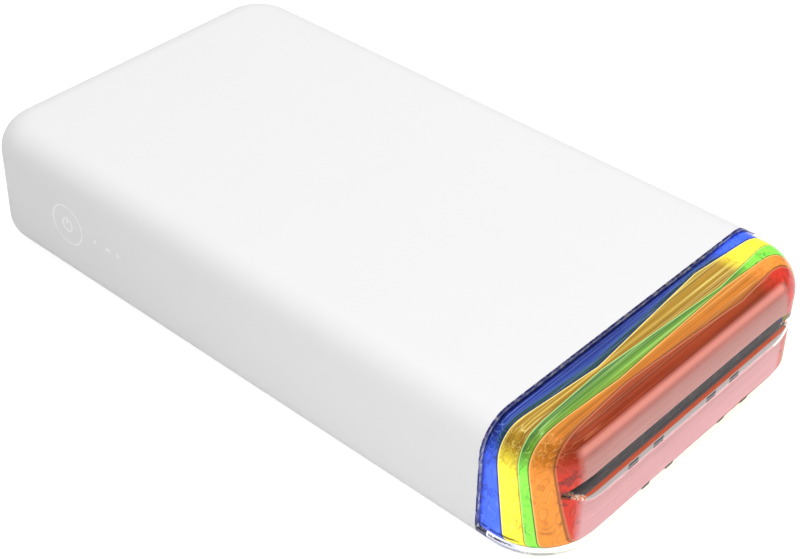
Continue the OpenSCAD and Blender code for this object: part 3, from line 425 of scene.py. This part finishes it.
def dyed(name, layer, deep, vivid, edge_dark, painted_highlight, width):
    """Dyed plastic. u runs forward across the leaning layers, and w from 0 to 1 between this layer's
    two folded boundaries. The colour goes from the deep tones on top, painted shade, to the vivid one
    at the sides, painted light."""
    f = Finish(name, vivid, 0.16, Specular_IOR_Level=0.08, Emission_Strength=1.0)
    x, y, z = f.xyz()
    u = x * math.cos(LEAN) + (z - LEAN_Z) * math.sin(LEAN)
    legs = [y.ramp(FOLD_Y[k], FOLD_Y[k + 1]) for k in range(3)]

    def boundary(i):
        """The fold line: straight legs, each adding its own step in x."""
        steps = ((FOLD_X[i][k + 1] - FOLD_X[i][k]) * legs[k] for k in range(3))
        return sum(steps, legs[0] * 0.0 + FOLD_X[i][0])

    lo, hi = boundary(layer), boundary(layer + 1)
    first = lo if layer else lo + FIRST_TO_SEAM
    last = hi if layer < 4 else hi - LAST_TO_FRONT
    w = ((u - first) / (last - first)).clip()
    # side marks where the colour is painted vivid, as lit; elsewhere the top is painted deep, as shaded.
    side = (1 - z.ramp(19.5, 24.0)).math("MAXIMUM", y.ramp(24.0, 30.0))
    streak = f.noise(0.5, 3.0, 0.65, f.stretched(1, 0.012, 1)).ramp(0.32, 0.68)
    # Thin threads of painted highlight along the seam.
    highlight_threads = f.noise(0.9, 1.0, 0.5, f.stretched(1, 0.008, 1)).within(0.48, 0.515, 0.012)
    cloud = f.noise(5.0, 2.0)
    swirl = (f.noise(3.4, 1.5, 0.5, f.stretched(1, 1, 0.6)) * 8.0).fraction()
    contour, ripple_highlight = swirl.within(0.36, 0.58, 0.1), swirl.within(0.62, 0.76, 0.06)
    blotch = f.noise(2.6, 2.0, 0.6).ramp(0.60, 0.66)
    top_tone = f.shade(f.stops(w, deep), 0.66 + streak * 0.52 + cloud * 0.14)
    top_tone = f.blend(highlight_threads * 0.5, top_tone, painted_highlight)
    side_tone = f.shade(vivid, 0.86 + cloud * 0.3)
    side_tone = f.blend(contour * 0.34 + blotch * 0.34, side_tone, edge_dark)
    # Painted highlights on the crests of the ripples at the sides.
    side_tone = f.blend(ripple_highlight * 0.22 * (1 - z.ramp(17.0, 21.0)), side_tone, painted_highlight)
    both = f.blend(side, top_tone, side_tone)
    # A painted highlight along each layer's rear boundary, and a dark line along its front one.
    both = f.blend((u - lo).within(-1, 0.2, 0.06) * 0.9, both, painted_highlight)
    both = f.blend((hi - u).within(-1, width, 0.06) * 0.8, both, edge_dark)
    f.x, f.y, f.z, f.side, f.streak, f.cloud, f.blotch = x, y, z, side, streak, cloud, blotch
    # glow is painted light: an emission, stronger at the sides and fading out at the foot.
    f.tone, f.glow = both, (0.03 + side * 0.16) * z.ramp(*GLOW_Z)
    return f


def glaze(f, layer_node):
    """Body colour and a painted glow, an emission, from one tone."""
    f.set("Base Color", f.shade(f.tone, 0.95))
    f.set("Emission Color", f.shade(f.tone, f.glow))
    f.set("Roughness", 0.12 + f.cloud * 0.14)
    f.paint(layer_node)


# The lighter first stops of the blue and orange ramps are painted highlights at each layer's rear
# boundary.
blue = dyed("dyed_blue", 0,
            [(0.0, tone(96, 100, 160)), (0.16, tone(28, 42, 112)), (0.6, tone(34, 54, 134)),
             (0.74, tone(52, 78, 140)), (0.82, tone(30, 62, 60)), (1.0, tone(42, 76, 72))],
            tone(62, 100, 246), tone(24, 36, 100), tone(120, 150, 235), 0.3)
glaze(blue, node["tint_blue"])
yellow = dyed("dyed_yellow", 1,
              [(0.0, tone(180, 160, 70)), (0.2, tone(150, 112, 34)), (0.6, tone(162, 126, 34)),
               (0.85, tone(136, 98, 32)), (1.0, tone(180, 146, 60))],
              tone(252, 240, 60), tone(150, 100, 24), tone(235, 220, 130), 0.16)
glaze(yellow, node["tint_yellow"])
green = dyed("dyed_green", 2,
             [(0.0, tone(60, 90, 70)), (0.3, tone(74, 116, 48)), (0.7, tone(96, 142, 42)),
              (1.0, tone(124, 158, 50))],
             tone(130, 232, 70), tone(28, 78, 40), tone(170, 214, 120), 0.16)
glaze(green, node["tint_green"])
orange = dyed("dyed_orange", 3,
              [(0.0, tone(205, 150, 70)), (0.15, tone(186, 116, 38)), (0.7, tone(178, 104, 28)),
               (1.0, tone(150, 84, 34))],
              tone(222, 134, 50), tone(128, 70, 34), tone(226, 170, 96), 0.2)
glaze(orange, node["tint_orange"])

# The foremost layer is pale over the slot, past the bend where x - z is 47.5 mm: thin red over
# pale parts behind, with a painted sheen, and greyer towards the top as painted shade.
BEND_X_LESS_Z, VEIL_HALF_Y, VEIL_Z = 47.5, (29.6, 31.3), (8.0, 19.0)
red = dyed("dyed_red", 4, [(0.0, tone(146, 62, 30)), (0.5, tone(136, 50, 26)), (1.0, tone(150, 54, 40))],
           tone(200, 52, 36), tone(104, 40, 34), tone(190, 110, 74), 0.0)
bend = red.x - red.z - BEND_X_LESS_Z
edge_on = red.y.size().ramp(*VEIL_HALF_Y)
front = bend.ramp(0.6, 3.8) * (1 - edge_on)
pale_front_painted_sheen = red.blend(red.z.ramp(*VEIL_Z), tone(201, 147, 150), tone(172, 121, 114))
pale_front_painted_sheen = red.shade(pale_front_painted_sheen, 0.9 + red.streak * 0.14 + red.cloud * 0.08)
red.tone = red.blend(front, red.tone, pale_front_painted_sheen)
# A coral painted highlight runs along the bend.
red.tone = red.blend(bend.within(0.6, 2.4, 0.6) * (1 - edge_on) * 0.8, red.tone, tone(228, 150, 136))
red.tone = red.blend(edge_on * red.blotch * 0.5, red.tone, tone(96, 50, 50))
# The red layer's painted glow, an emission, as on the others.
red.glow = (red.side * 0.1 + front * 0.06 + 0.03) * red.z.ramp(*GLOW_Z)
glaze(red, node["tint_red"])

# ---- Slot lip and tunnel -----------------------------------------------------
# A pale moulded lip fills the lower half of the slot and guides the print out;
# four short ribs mark its front. Behind it a black tunnel leads from the rollers.
LIP_TOP_Z, LIP_EDGE_X = (14.9, 14.97), (74.0, 74.15)
RIB_YS, RIB_HALF, RUNGS_Z = (-17.7, -10.4, 5.6, 12.9), 1.45, ((13.10, 13.80), (13.96, 14.62))
GLINTS_HALF_Y, GLINTS_Z = (30.2, 30.8), (12.6, 12.9)
lip = moulded("lip_pale", tone(196, 184, 180), rough=0.35, grain_mm=0.2, grain_depth=0.003)
x, y, z = lip.xyz()
# The lip's top face is painted dark grey: painted shade down in the slot.
upper = z.ramp(*LIP_TOP_Z)
lip_tone = lip.blend(upper, lip.tint, tone(92, 90, 91))
# A painted orange-red reflection of the red layer runs along the front edge of its top.
lip_tone = lip.blend(upper * x.ramp(*LIP_EDGE_X), lip_tone, tone(196, 84, 50))
rungs = z.within(*RUNGS_Z[0], 0.03) + z.within(*RUNGS_Z[1], 0.03)
lip_tone = lip.blend(y.near(RIB_YS, RIB_HALF, 0.08) * rungs, lip_tone, tone(2, 2, 2))
# Painted glints at the slot's ends: light bent through the clear plastic, painted as white, orange and
# dark flecks.
painted_glints = lip.stops(lip.noise(1.5, 2.0, 0.6, lip.stretched(1, 1, 0.5)),
                   [(0.40, tone(60, 52, 50)), (0.45, tone(250, 244, 236)), (0.52, tone(232, 150, 60)),
                    (0.58, tone(214, 84, 40)), (0.62, tone(250, 236, 220))])
lip_tone = lip.blend(y.size().ramp(*GLINTS_HALF_Y) * z.ramp(*GLINTS_Z), lip_tone, painted_glints)
lip.set("Base Color", lip_tone)
lip.paint(node["slot_lip"])

RAIL_PITCH = 7.3
tunnel = moulded("tunnel_black", (0.035, 0.035, 0.038), rough=0.55, grain_mm=0.3, grain_depth=0.01,
                 cloud=0.1)
x, y, z = tunnel.xyz()
rail = y.wave(RAIL_PITCH).ramp(0.9, 0.97)
tunnel.set("Base Color", tunnel.blend(rail * 0.5, tunnel.tint, (0.11, 0.11, 0.115)))
tunnel.paint(node["slot_tunnel"])

GATE_Z, GATE_R = 22.0, (1.1, 1.35)
back = moulded("backplate_grey", (0.30, 0.30, 0.31), rough=0.5, grain_mm=0.3, grain_depth=0.01)
x, y, z = back.xyz()
gate = y.apart(z - GATE_Z).within(*GATE_R, 0.05)
back.set("Base Color", back.blend(gate * 0.5, back.tint, (0.16, 0.16, 0.17)))
back.paint(node["cap_backplate"])

# ---- Chassis -----------------------------------------------------------------
# The dark glass-filled frame that carries the cartridge, battery, motors and
# board. It has a coarse moulded grain, flow marks and round ejector marks.
EJECTORS_PER_MM, EJECTOR_PITCH, EJECTOR_R = 0.0833, 12.0, (1.3, 1.5)
frame_black = moulded("chassis_black", (0.045, 0.046, 0.05), rough=0.55, grain_mm=0.35, grain_depth=0.014,
                      cloud=0.12)
x, y, z = frame_black.xyz()
px, py = (x * EJECTORS_PER_MM).fraction() - 0.5, (y * EJECTORS_PER_MM).fraction() - 0.5
pip = (px.apart(py) * EJECTOR_PITCH).within(*EJECTOR_R, 0.05)
flow = frame_black.noise(1.1, 3.0, 0.6, frame_black.stretched(0.15, 1, 1))
frame_black.set("Base Color", frame_black.blend((pip * 0.6 + flow.ramp(0.55, 0.8) * 0.25).clip(),
                                                frame_black.tint, (0.11, 0.11, 0.115)))
frame_black.paint(node["chassis"])

# ---- Steel side plates -------------------------------------------------------
# Pressed from galvanised sheet, with drawn lines from the rolling mill and
# faint spangles of zinc. A front tab or two screws hold each to the chassis.
SPANGLE = 3.2
zinc = steel("sheet_zinc", (0.60, 0.61, 0.63), 0.34, grain=(0.06, 1, 1), size_mm=0.3)
gleam = zinc.part("ShaderNodeSeparateColor", None, Color=zinc.cells(SPANGLE, "Color"))["Red"]
zinc.set("Base Color", zinc.shade(zinc.tint, 0.88 + gleam * 0.18))
zinc.set("Roughness", 0.26 + gleam * 0.16)
zinc.paint(node["side_plate"], node["front_bracket"], node["rear_bracket"])

# ---- Shafts and rollers ------------------------------------------------------
# Ground steel shafts; a rubber platen and pick-up tyre with a fine ground
# finish; a capstan with etched micro-spikes; a pinch roller of three sleeves.
ground = steel("ground_steel", (0.68, 0.68, 0.69), 0.18, size_mm=0.9, depth=0.0008)
turned = ground.noise(0.12, 2.0, 0.5, ground.stretched(0.02, 1, 0.02))
ground.set("Base Color", ground.shade(ground.tint, 0.9 + turned * 0.16))
ground.paint(node["platen_shaft"], node["pickup_shaft"], node["arm_shaft"], node["idler_studs"],
             node["supply_hub"])


def rubber(name, color, lines_mm):
    """Ground rubber: matt, with lathe lines round the axis and a little pale dust from the cards."""
    f = Finish(name, color, 0.75)
    ring = f.noise(lines_mm, 2.0, 0.5, f.stretched(0.02, 1, 0.02))
    dust = f.noise(1.8, 4.0, 0.7)
    f.tint = f.blend((dust.ramp(0.5, 0.85) * 0.4 + ring * 0.12).clip(), color, (0.20, 0.195, 0.19))
    f.set("Base Color", f.tint)
    f.set("Roughness", 0.66 + ring * 0.2)
    f.bump(ring, 0.02)
    return f


rubber("platen_rubber", (0.030, 0.030, 0.032), 0.25).paint(node["platen_rubber"])

PICKUP_X, PICKUP_Z, TREADS = 7.6, 12.2, 36
tyre = rubber("tyre_rubber", (0.055, 0.055, 0.06), 0.35)
x, y, z = tyre.xyz()
treads = (z - PICKUP_Z).math("ARCTAN2", x - PICKUP_X) * (TREADS / (2 * math.pi))
tyre.set("Base Color", tyre.shade(tyre.tint, 0.75 + treads.fraction().within(0.2, 0.8, 0.1) * 0.4))
tyre.paint(node["pickup_tyre"])

SPIKE, SPIKED_HALF_Y = 0.45, (19.0, 26.5)
spiked = steel("capstan_steel", (0.50, 0.50, 0.51), 0.42, size_mm=0.5)
x, y, z = spiked.xyz()
grip = y.size().within(*SPIKED_HALF_Y, 0.1) * (1 - spiked.cells(SPIKE).ramp(0.1, 0.5))
spiked.set("Base Color", spiked.shade(spiked.tint, 0.72 + grip * 0.5))
spiked.bump(grip, 0.06)
spiked.paint(node["capstan"])

SLEEVE_YS, SLEEVE_HALF = (-16.0, 0.0, 16.0), 6.0
sleeve = moulded("pinch_sleeve", (0.10, 0.10, 0.11), rough=0.35, grain_mm=0.2, grain_depth=0.003)
x, y, z = sleeve.xyz()
on_sleeve = y.near(SLEEVE_YS, SLEEVE_HALF, 0.03)
sleeve.set("Base Color", sleeve.blend(on_sleeve, (0.62, 0.62, 0.63), sleeve.tint))
sleeve.set("Metallic", 1 - on_sleeve)
sleeve.paint(node["pinch_roller"])

# ---- Gear train --------------------------------------------------------------
# Spur gears moulded in ivory acetal, with a greasy sheen, a moulding ring round
# each hub and dark grease where the teeth run. The feed pinion is cut brass.
TAKEUP_X, TAKEUP_Z = 42.225, 20.4568
GEARS = (("gear_platen", 30.0, 8.5, 4.4, "platen_gear"),
         ("gear_capstan", 51.0, 10.8926, 4.4, "capstan_gear"),
         ("gear_pickup", PICKUP_X, PICKUP_Z, 7.9, "pickup_gear"),
         ("gear_feed_idler", 19.5495, 13.2997, 5.9, "feed_idler"),
         ("gear_link", 40.1544, 12.7294, 5.4, "link_idler"),
         ("gear_takeup", TAKEUP_X, TAKEUP_Z, 2.9, "takeup_gear"),
         ("gear_cam", -14.0, 18.0, 6.4, "cam_gear"),
         ("gear_cam_motor", -26.0, 18.0, 4.4, "cam_pinion"))


def acetal(name, cx, cz, root_r):
    """Acetal gear: radius from the gear's own axis sets the moulding rings and the grease at the teeth."""
    f = moulded(name, (0.80, 0.77, 0.68), rough=0.32, grain_mm=0.4, grain_depth=0.004)
    x, y, z = f.xyz()
    dx, dz = x - cx, z - cz
    r = dx.apart(dz)
    ring = r.within(root_r * 0.42, root_r * 0.46, 0.05) + r.within(root_r * 0.80, root_r * 0.83, 0.05)
    grease = r.ramp(root_r - 0.1, root_r + 0.5) * f.noise(1.3, 3.0).ramp(0.3, 0.7)
    dot = (dx - root_r * 0.6).apart(dz).within(-1, 0.32, 0.04)
    shown = f.blend((ring * 0.35).clip(), f.tint, (0.52, 0.48, 0.38))
    shown = f.blend(grease * 0.45, shown, (0.36, 0.31, 0.20))
    f.set("Base Color", f.blend(dot, shown, (0.30, 0.28, 0.24)))
    f.set("Roughness", 0.34 - grease * 0.18)
    return f


for name, axis_x, axis_z, root_r, gear in GEARS:
    acetal(name, axis_x, axis_z, root_r).paint(node[gear])
brass = steel("pinion_brass", (0.72, 0.52, 0.22), 0.26, grain=(1, 0.05, 1), size_mm=0.25)
brass.paint(node["feed_pinion"])

# ---- Motors ------------------------------------------------------------------
# Two drawn steel cans with a bright zinc finish, a rolled seam near each end and
# a black end cap that holds the brushes. Their noses sit in the side plate.
END_CAP_Y, REAR_SEAM_Y, FRONT_SEAM_Y = (-12.6, -12.55), (-27.4, -27.0), (-13.6, -13.3)
CRIMP_Y, CRIMP_PITCH = (-16.0, -14.4), 4.0
can = steel("motor_can", (0.58, 0.59, 0.61), 0.3, grain=(1, 0.06, 1), size_mm=0.35)
x, y, z = can.xyz()
end_cap = y.ramp(*END_CAP_Y)
seams = y.within(*REAR_SEAM_Y, 0.04) + y.within(*FRONT_SEAM_Y, 0.04)
crimp = y.within(*CRIMP_Y, 0.05) * x.wave(CRIMP_PITCH).ramp(0.86, 0.92)
shown = can.shade(can.tint, 1 - (seams + crimp).clip() * 0.55)
can.set("Base Color", can.blend(end_cap, shown, (0.03, 0.03, 0.033)))
can.set("Metallic", 1 - end_cap)
can.paint(node["feed_motor"], node["cam_motor"])

# ---- Head lift cam -----------------------------------------------------------
# A sintered steel cam pressed on its shaft; the tail of the head arm rides on
# it. The pores of the sintered steel show as dark specks round its edge.
CAM_Y = (-11.0, -8.6)
cam_steel = steel("cam_steel", (0.46, 0.46, 0.47), 0.36, size_mm=0.25, depth=0.004)
x, y, z = cam_steel.xyz()
on_cam = y.within(*CAM_Y, 0.02)
pores = cam_steel.noise(0.18, 2.0).ramp(0.62, 0.7)
cam_steel.set("Base Color", cam_steel.shade(cam_steel.tint, 1.1 - on_cam * pores * 0.5))
cam_steel.paint(node["cam_shaft"])

# ---- Print head --------------------------------------------------------------
# A pressed steel arm swings on its shaft. It carries an extruded aluminium
# heat sink, and below that a ceramic plate with the line of heating dots.
ARM_BEND_X, ARM_BEND_HALF_Y = (6.4, 6.8), (26.6, 26.8)
arm = steel("arm_steel", (0.56, 0.57, 0.59), 0.32, grain=(1, 0.06, 1), size_mm=0.3)
x, y, z = arm.xyz()
bend_line = x.within(*ARM_BEND_X, 0.08) + y.size().within(*ARM_BEND_HALF_Y, 0.05)
arm.set("Base Color", arm.shade(arm.tint, 1 - bend_line.clip() * 0.25))
arm.paint(node["head_arm"])

SINK_END_Y = (26.3, 26.4)
sink = steel("sink_aluminium", (0.70, 0.71, 0.72), 0.36, grain=(1, 0.04, 1), size_mm=0.22, depth=0.004)
x, y, z = sink.xyz()
sawn = y.size().ramp(*SINK_END_Y)
sink.set("Roughness", 0.3 + sawn * 0.25)
sink.set("Base Color", sink.shade(sink.tint, 0.95 - sawn * 0.15))
sink.paint(node["heat_sink"])

DOTS_X, DOTS_Z, FINGERS_X, FINGER_PITCH = (30.55, 31.45), (15.3, 15.4), (31.6, 33.3), 0.5
tile = Finish("head_ceramic", (0.72, 0.70, 0.64), 0.22)
x, y, z = tile.xyz()
bead = x.within(*DOTS_X, 0.05) * (1 - z.ramp(*DOTS_Z))
fingers = y.wave(FINGER_PITCH).ramp(0.5, 0.6) * x.within(*FINGERS_X, 0.05)
speck = tile.noise(0.3, 2.0)
fired = tile.blend(speck * 0.4, (0.74, 0.72, 0.66), (0.60, 0.58, 0.52))
fired = tile.blend(fingers * 0.8, fired, (0.78, 0.62, 0.30))
tile.set("Base Color", tile.blend(bead, fired, (0.04, 0.03, 0.03)))
tile.set("Roughness", 0.18 + speck * 0.12)
tile.paint(node["print_head"])

# ---- Cartridge ---------------------------------------------------------------
# A disposable cassette of grey polystyrene: an open tray of cards, two end
# walls with the half tubes of the spools, and the dye film between them.
STEPS_PER_MM, STEPS_Z, STEPS_HALF_Y = 0.25, (7.4, 7.5), (28.4, 28.5)
smoke = moulded("cassette_grey", (0.22, 0.225, 0.24), rough=0.4, grain_mm=0.3, grain_depth=0.008,
                cloud=0.06)
x, y, z = smoke.xyz()
step = (x * STEPS_PER_MM).fraction().within(0.0, 0.06, 0.02)
step = step * (1 - z.ramp(*STEPS_Z)) * y.size().ramp(*STEPS_HALF_Y)
smoke.set("Base Color", smoke.blend(step * 0.5, smoke.tint, (0.12, 0.12, 0.13)))
smoke.paint(node["cartridge_tray"], node["ribbon_frame"])

CARD_THICK, STACK_TOP_Z = 0.29, (7.1, 7.14)
card = Finish("card_white", (0.84, 0.84, 0.83), 0.4)
x, y, z = card.xyz()
cut = z.wave(CARD_THICK).ramp(0.0, 0.22)
edge = (1 - z.ramp(*STACK_TOP_Z)).clip()
ragged = card.noise(0.2, 2.0, 0.5, card.stretched(0.05, 0.05, 1))
# The dark lines between the cards on the sides of the stack are painted shade in the gaps between them.
card.set("Base Color", card.blend(edge * (1 - cut) * 0.9, (0.84, 0.84, 0.83), (0.34, 0.335, 0.33)))
card.set("Roughness", 0.25 + edge * 0.4 + ragged * 0.1)
card.bump(ragged, 0.03)
card.paint(node["card_stack"])

PANELS_PER_MM = 0.125
DYE_YELLOW, DYE_MAGENTA, DYE_CYAN = (0.55, 0.42, 0.03), (0.45, 0.02, 0.16), (0.02, 0.16, 0.38)
film = Finish("dye_film", (0.2, 0.05, 0.1), 0.12, Specular_IOR_Level=0.6)
x, y, z = film.xyz()
panels = film.stops((x * PANELS_PER_MM).fraction(),
                    [(0.0, DYE_YELLOW), (0.32, DYE_YELLOW), (0.34, DYE_MAGENTA), (0.65, DYE_MAGENTA),
                     (0.67, DYE_CYAN)])
crease = film.noise(2.5, 3.0, 0.6, film.stretched(1, 0.2, 1))
film.set("Base Color", film.shade(panels, 0.8 + crease * 0.3))
film.bump(crease, 0.05)
film.paint(node["ribbon_film"])

FILM_HALF_Y, CORE_R, TURNS_PER_MM = (26.0, 26.02), (1.95, 2.0), 7.0


def wound(name, cx, cz, color):
    """Film wound on a core: rings of film on the end faces, taut bands across, and grey plastic beyond."""
    f = moulded(name, (0.16, 0.16, 0.175), rough=0.4, grain_mm=0.3, grain_depth=0.006)
    x, y, z = f.xyz()
    r = (x - cx).apart(z - cz)
    on_film = (1 - y.size().ramp(*FILM_HALF_Y)) * r.ramp(*CORE_R)
    turns = (r * TURNS_PER_MM).fraction()
    taut = f.noise(3.0, 2.0, 0.5, f.stretched(0.1, 1, 0.1))
    f.set("Base Color", f.blend(on_film, f.tint, f.shade(color, 0.7 + turns * 0.25 + taut * 0.35)))
    f.set("Roughness", 0.4 - on_film * 0.24)
    return f


wound("wound_supply", 18.0, 17.2, (0.30, 0.05, 0.12)).paint(node["supply_spool"])
wound("wound_takeup", TAKEUP_X, TAKEUP_Z, (0.10, 0.07, 0.12)).paint(node["takeup_spool"])

# ---- Main board, battery and leads -------------------------------------------
# A green four-layer board with black chips on its upper side, a foil pouch
# cell in a deck of its own and two silicone leads between them.
BOARD_Z, BOARD_END, BOARD_START = (13.42, 14.38), 72.6, 37.0  # both ends lie behind the middle
VIAS_PER_MM, VIA_R = 0.55, 0.13
board = Finish("board_green", (0.02, 0.13, 0.06), 0.3)
x, y, z = board.xyz()
weave = board.noise(3.0, 0.0) * 2.4
run = (x + weave).wave(0.9).ramp(0.82, 0.9).math("MAXIMUM", (y + weave).wave(1.3).ramp(0.86, 0.93))
area = board.noise(4.5, 1.0).ramp(0.45, 0.5)
vx, vy = (x * VIAS_PER_MM).fraction() - 0.5, (y * VIAS_PER_MM).fraction() - 0.5
via = vx.apart(vy).within(-1, VIA_R, 0.02) * (1 - area)
mask = board.blend(run * area * 0.9, (0.012, 0.10, 0.045), (0.03, 0.21, 0.09))
mask = board.blend(via, mask, (0.60, 0.58, 0.52))
ends = ((x + BOARD_END).within(-1, 0.12, 0.02) + (-BOARD_START - x).within(-1, 0.12, 0.02)).clip()
board.set("Base Color", board.blend(ends * z.within(*BOARD_Z, 0.02), mask, (0.42, 0.40, 0.22)))
board.bump(run * area, 0.03)
board.paint(node["main_board"])

LEAD_PITCH, LEADS_Z = 0.8, (14.75, 14.85)
POST_R, POSTS = 1.55, ((-62.0, -20.0), (-62.0, 22.0), (-41.0, -20.0), (-41.0, 22.0))
PLUG_X, PLUG_Y = (-40.5, -37.3), (-10.2, 6.2)
chips = Finish("board_chips", (0.03, 0.03, 0.032), 0.45)
x, y, z = chips.xyz()
lead_row = y.wave(LEAD_PITCH).ramp(0.45, 0.55) * (1 - z.ramp(*LEADS_Z))
post = sum(((x - a).apart(y - b).within(-1, POST_R, 0.03) for a, b in POSTS), x * 0.0).clip()
plug = x.within(*PLUG_X, 0.05) * y.within(*PLUG_Y, 0.05)
metal = (lead_row * (1 - plug)).math("MAXIMUM", post)
grain = chips.noise(0.25, 2.0)
moulding = chips.blend(grain, (0.022, 0.022, 0.024), (0.05, 0.05, 0.054))
moulding = chips.blend(plug, moulding, (0.74, 0.72, 0.66))
chips.set("Base Color", chips.blend(metal, moulding, (0.62, 0.62, 0.62)))
chips.set("Metallic", metal)
chips.bump(grain, 0.01)
chips.paint(node["board_parts"])

TAPE_Y = (25.2, 25.3)
pouch = steel("pouch_foil", (0.62, 0.63, 0.65), 0.34, size_mm=2.2, depth=0.05)
x, y, z = pouch.xyz()
tape = y.ramp(*TAPE_Y)
wrap = pouch.noise(4.0, 3.0)
foil = pouch.shade(pouch.tint, 0.85 + wrap * 0.2)
pouch.set("Base Color", pouch.blend(tape, foil, (0.52, 0.27, 0.04)))
pouch.set("Metallic", 1 - tape)
pouch.paint(node["battery"])

BETWEEN_LEADS_Y = (1.95, 2.05)
silicone = Finish("lead_silicone", (0.4, 0.02, 0.02), 0.4)
x, y, z = silicone.xyz()
rub = silicone.noise(0.5, 3.0)
red_lead = silicone.blend(rub, (0.50, 0.02, 0.02), (0.38, 0.015, 0.015))
black_lead = silicone.blend(rub, (0.02, 0.02, 0.02), (0.05, 0.05, 0.05))
silicone.set("Base Color", silicone.blend(y.ramp(*BETWEEN_LEADS_Y), red_lead, black_lead))
silicone.set("Roughness", 0.3 + rub * 0.2)
silicone.paint(node["battery_leads"])

# ---- Floor and light ---------------------------------------------------------
# A white sweep under and behind the object, one large soft box above, a lower
# one by the front cap and the even light of a white room round it.
FLOOR_HALF = 1.5
UNDER_HALF_X, UNDER_HALF_Y, UNDER_GLOW = (68.0, 71.0), (33.0, 36.0), 0.24
FLOOR_TO_EYE = 0.7


def make_floor():
    """A flat square sheet of 3 m, seen from above only, so that the underside of the object can be
    looked at. The patch that the object hides gives that underside its light."""
    mesh = bpy.data.meshes.new("floor")
    corners = [(sx * FLOOR_HALF, sy * FLOOR_HALF, 0) for sx, sy in ((-1, -1), (1, -1), (1, 1), (-1, 1))]
    mesh.from_pydata(corners, [], [(0, 1, 2, 3)])
    ob = bpy.data.objects.new("floor", mesh)
    bpy.context.scene.collection.objects.link(ob)
    f = Finish("floor_white", (0.85, 0.85, 0.85), 0.9)
    glow = f.part("ShaderNodeEmission", None, Color=(1, 1, 1, 1), Strength=1.0)["Emission"]
    none = f.part("ShaderNodeEmission", None, Color=(0, 0, 0, 1), Strength=0.0)["Emission"]
    ray = f.part("ShaderNodeLightPath")
    eye = (ray["Is Camera Ray"] * FLOOR_TO_EYE + ray["Is Transmission Ray"]).clip()
    x, y, z = f.xyz()
    hidden = (1 - x.size().ramp(*UNDER_HALF_X)) * (1 - y.size().ramp(*UNDER_HALF_Y))
    level = eye.math("MAXIMUM", hidden * ray["Is Diffuse Ray"] * UNDER_GLOW)
    lit = f.part("ShaderNodeMixShader", None, i0=level, i1=none, i2=glow)["Shader"]
    f.from_outside(f.part("ShaderNodeAddShader", None, i0=f.shader(), i1=lit)["Shader"])
    f.paint(ob)


make_floor()


def soft_box(name, at, look, size, power, spread=180.0):
    """A square area lamp at a point, turned to face another; spread is the angle its light is held to.
    It isn't mirrored in the object, as if a flag in front of it kept it out of the shine."""
    data = bpy.data.lights.new(name, "AREA")
    data.shape, data.size, data.energy, data.spread = "SQUARE", size, power, math.radians(spread)
    lamp = bpy.data.objects.new(name, data)
    lamp.location = at
    lamp.rotation_euler = (Vector(at) - Vector(look)).to_track_quat("Z", "Y").to_euler()
    lamp.visible_glossy = False
    bpy.context.scene.collection.objects.link(lamp)


soft_box("soft_box_top", (0.1, 0.15, 0.9), (0, 0, 0), 0.9, 6.75)
soft_box("soft_box_front", (0.15, -0.42, 0.06), (0.085, -0.04, 0.012), 0.16, 0.034, 50.0)

ROOM_LIGHT, ROOM_TO_EYE, ROOM_IN_GLOSS = 0.44, 0.56, 0.26


def make_room():
    """World light: white to the eye and through clear plastic, less as light, and dimmer still in
    reflections, as the dark upper part of a studio is."""
    world = bpy.data.worlds.new("room")
    bpy.context.scene.world = world
    world.use_nodes = True
    tree = world.node_tree
    sky = tree.nodes["Background"]
    ray = tree.nodes.new("ShaderNodeLightPath")
    seen = Knot(tree, ray.outputs["Is Camera Ray"]) + Knot(tree, ray.outputs["Is Transmission Ray"])
    glossy = Knot(tree, ray.outputs["Is Glossy Ray"])
    level = ROOM_LIGHT + seen.clip() * ROOM_TO_EYE - glossy * ROOM_IN_GLOSS
    tree.links.new(level.sock, sky.inputs["Strength"])
    sky.inputs["Color"].default_value = (1, 1, 1, 1)


make_room()
bpy.context.scene.view_settings.view_transform = "Standard"
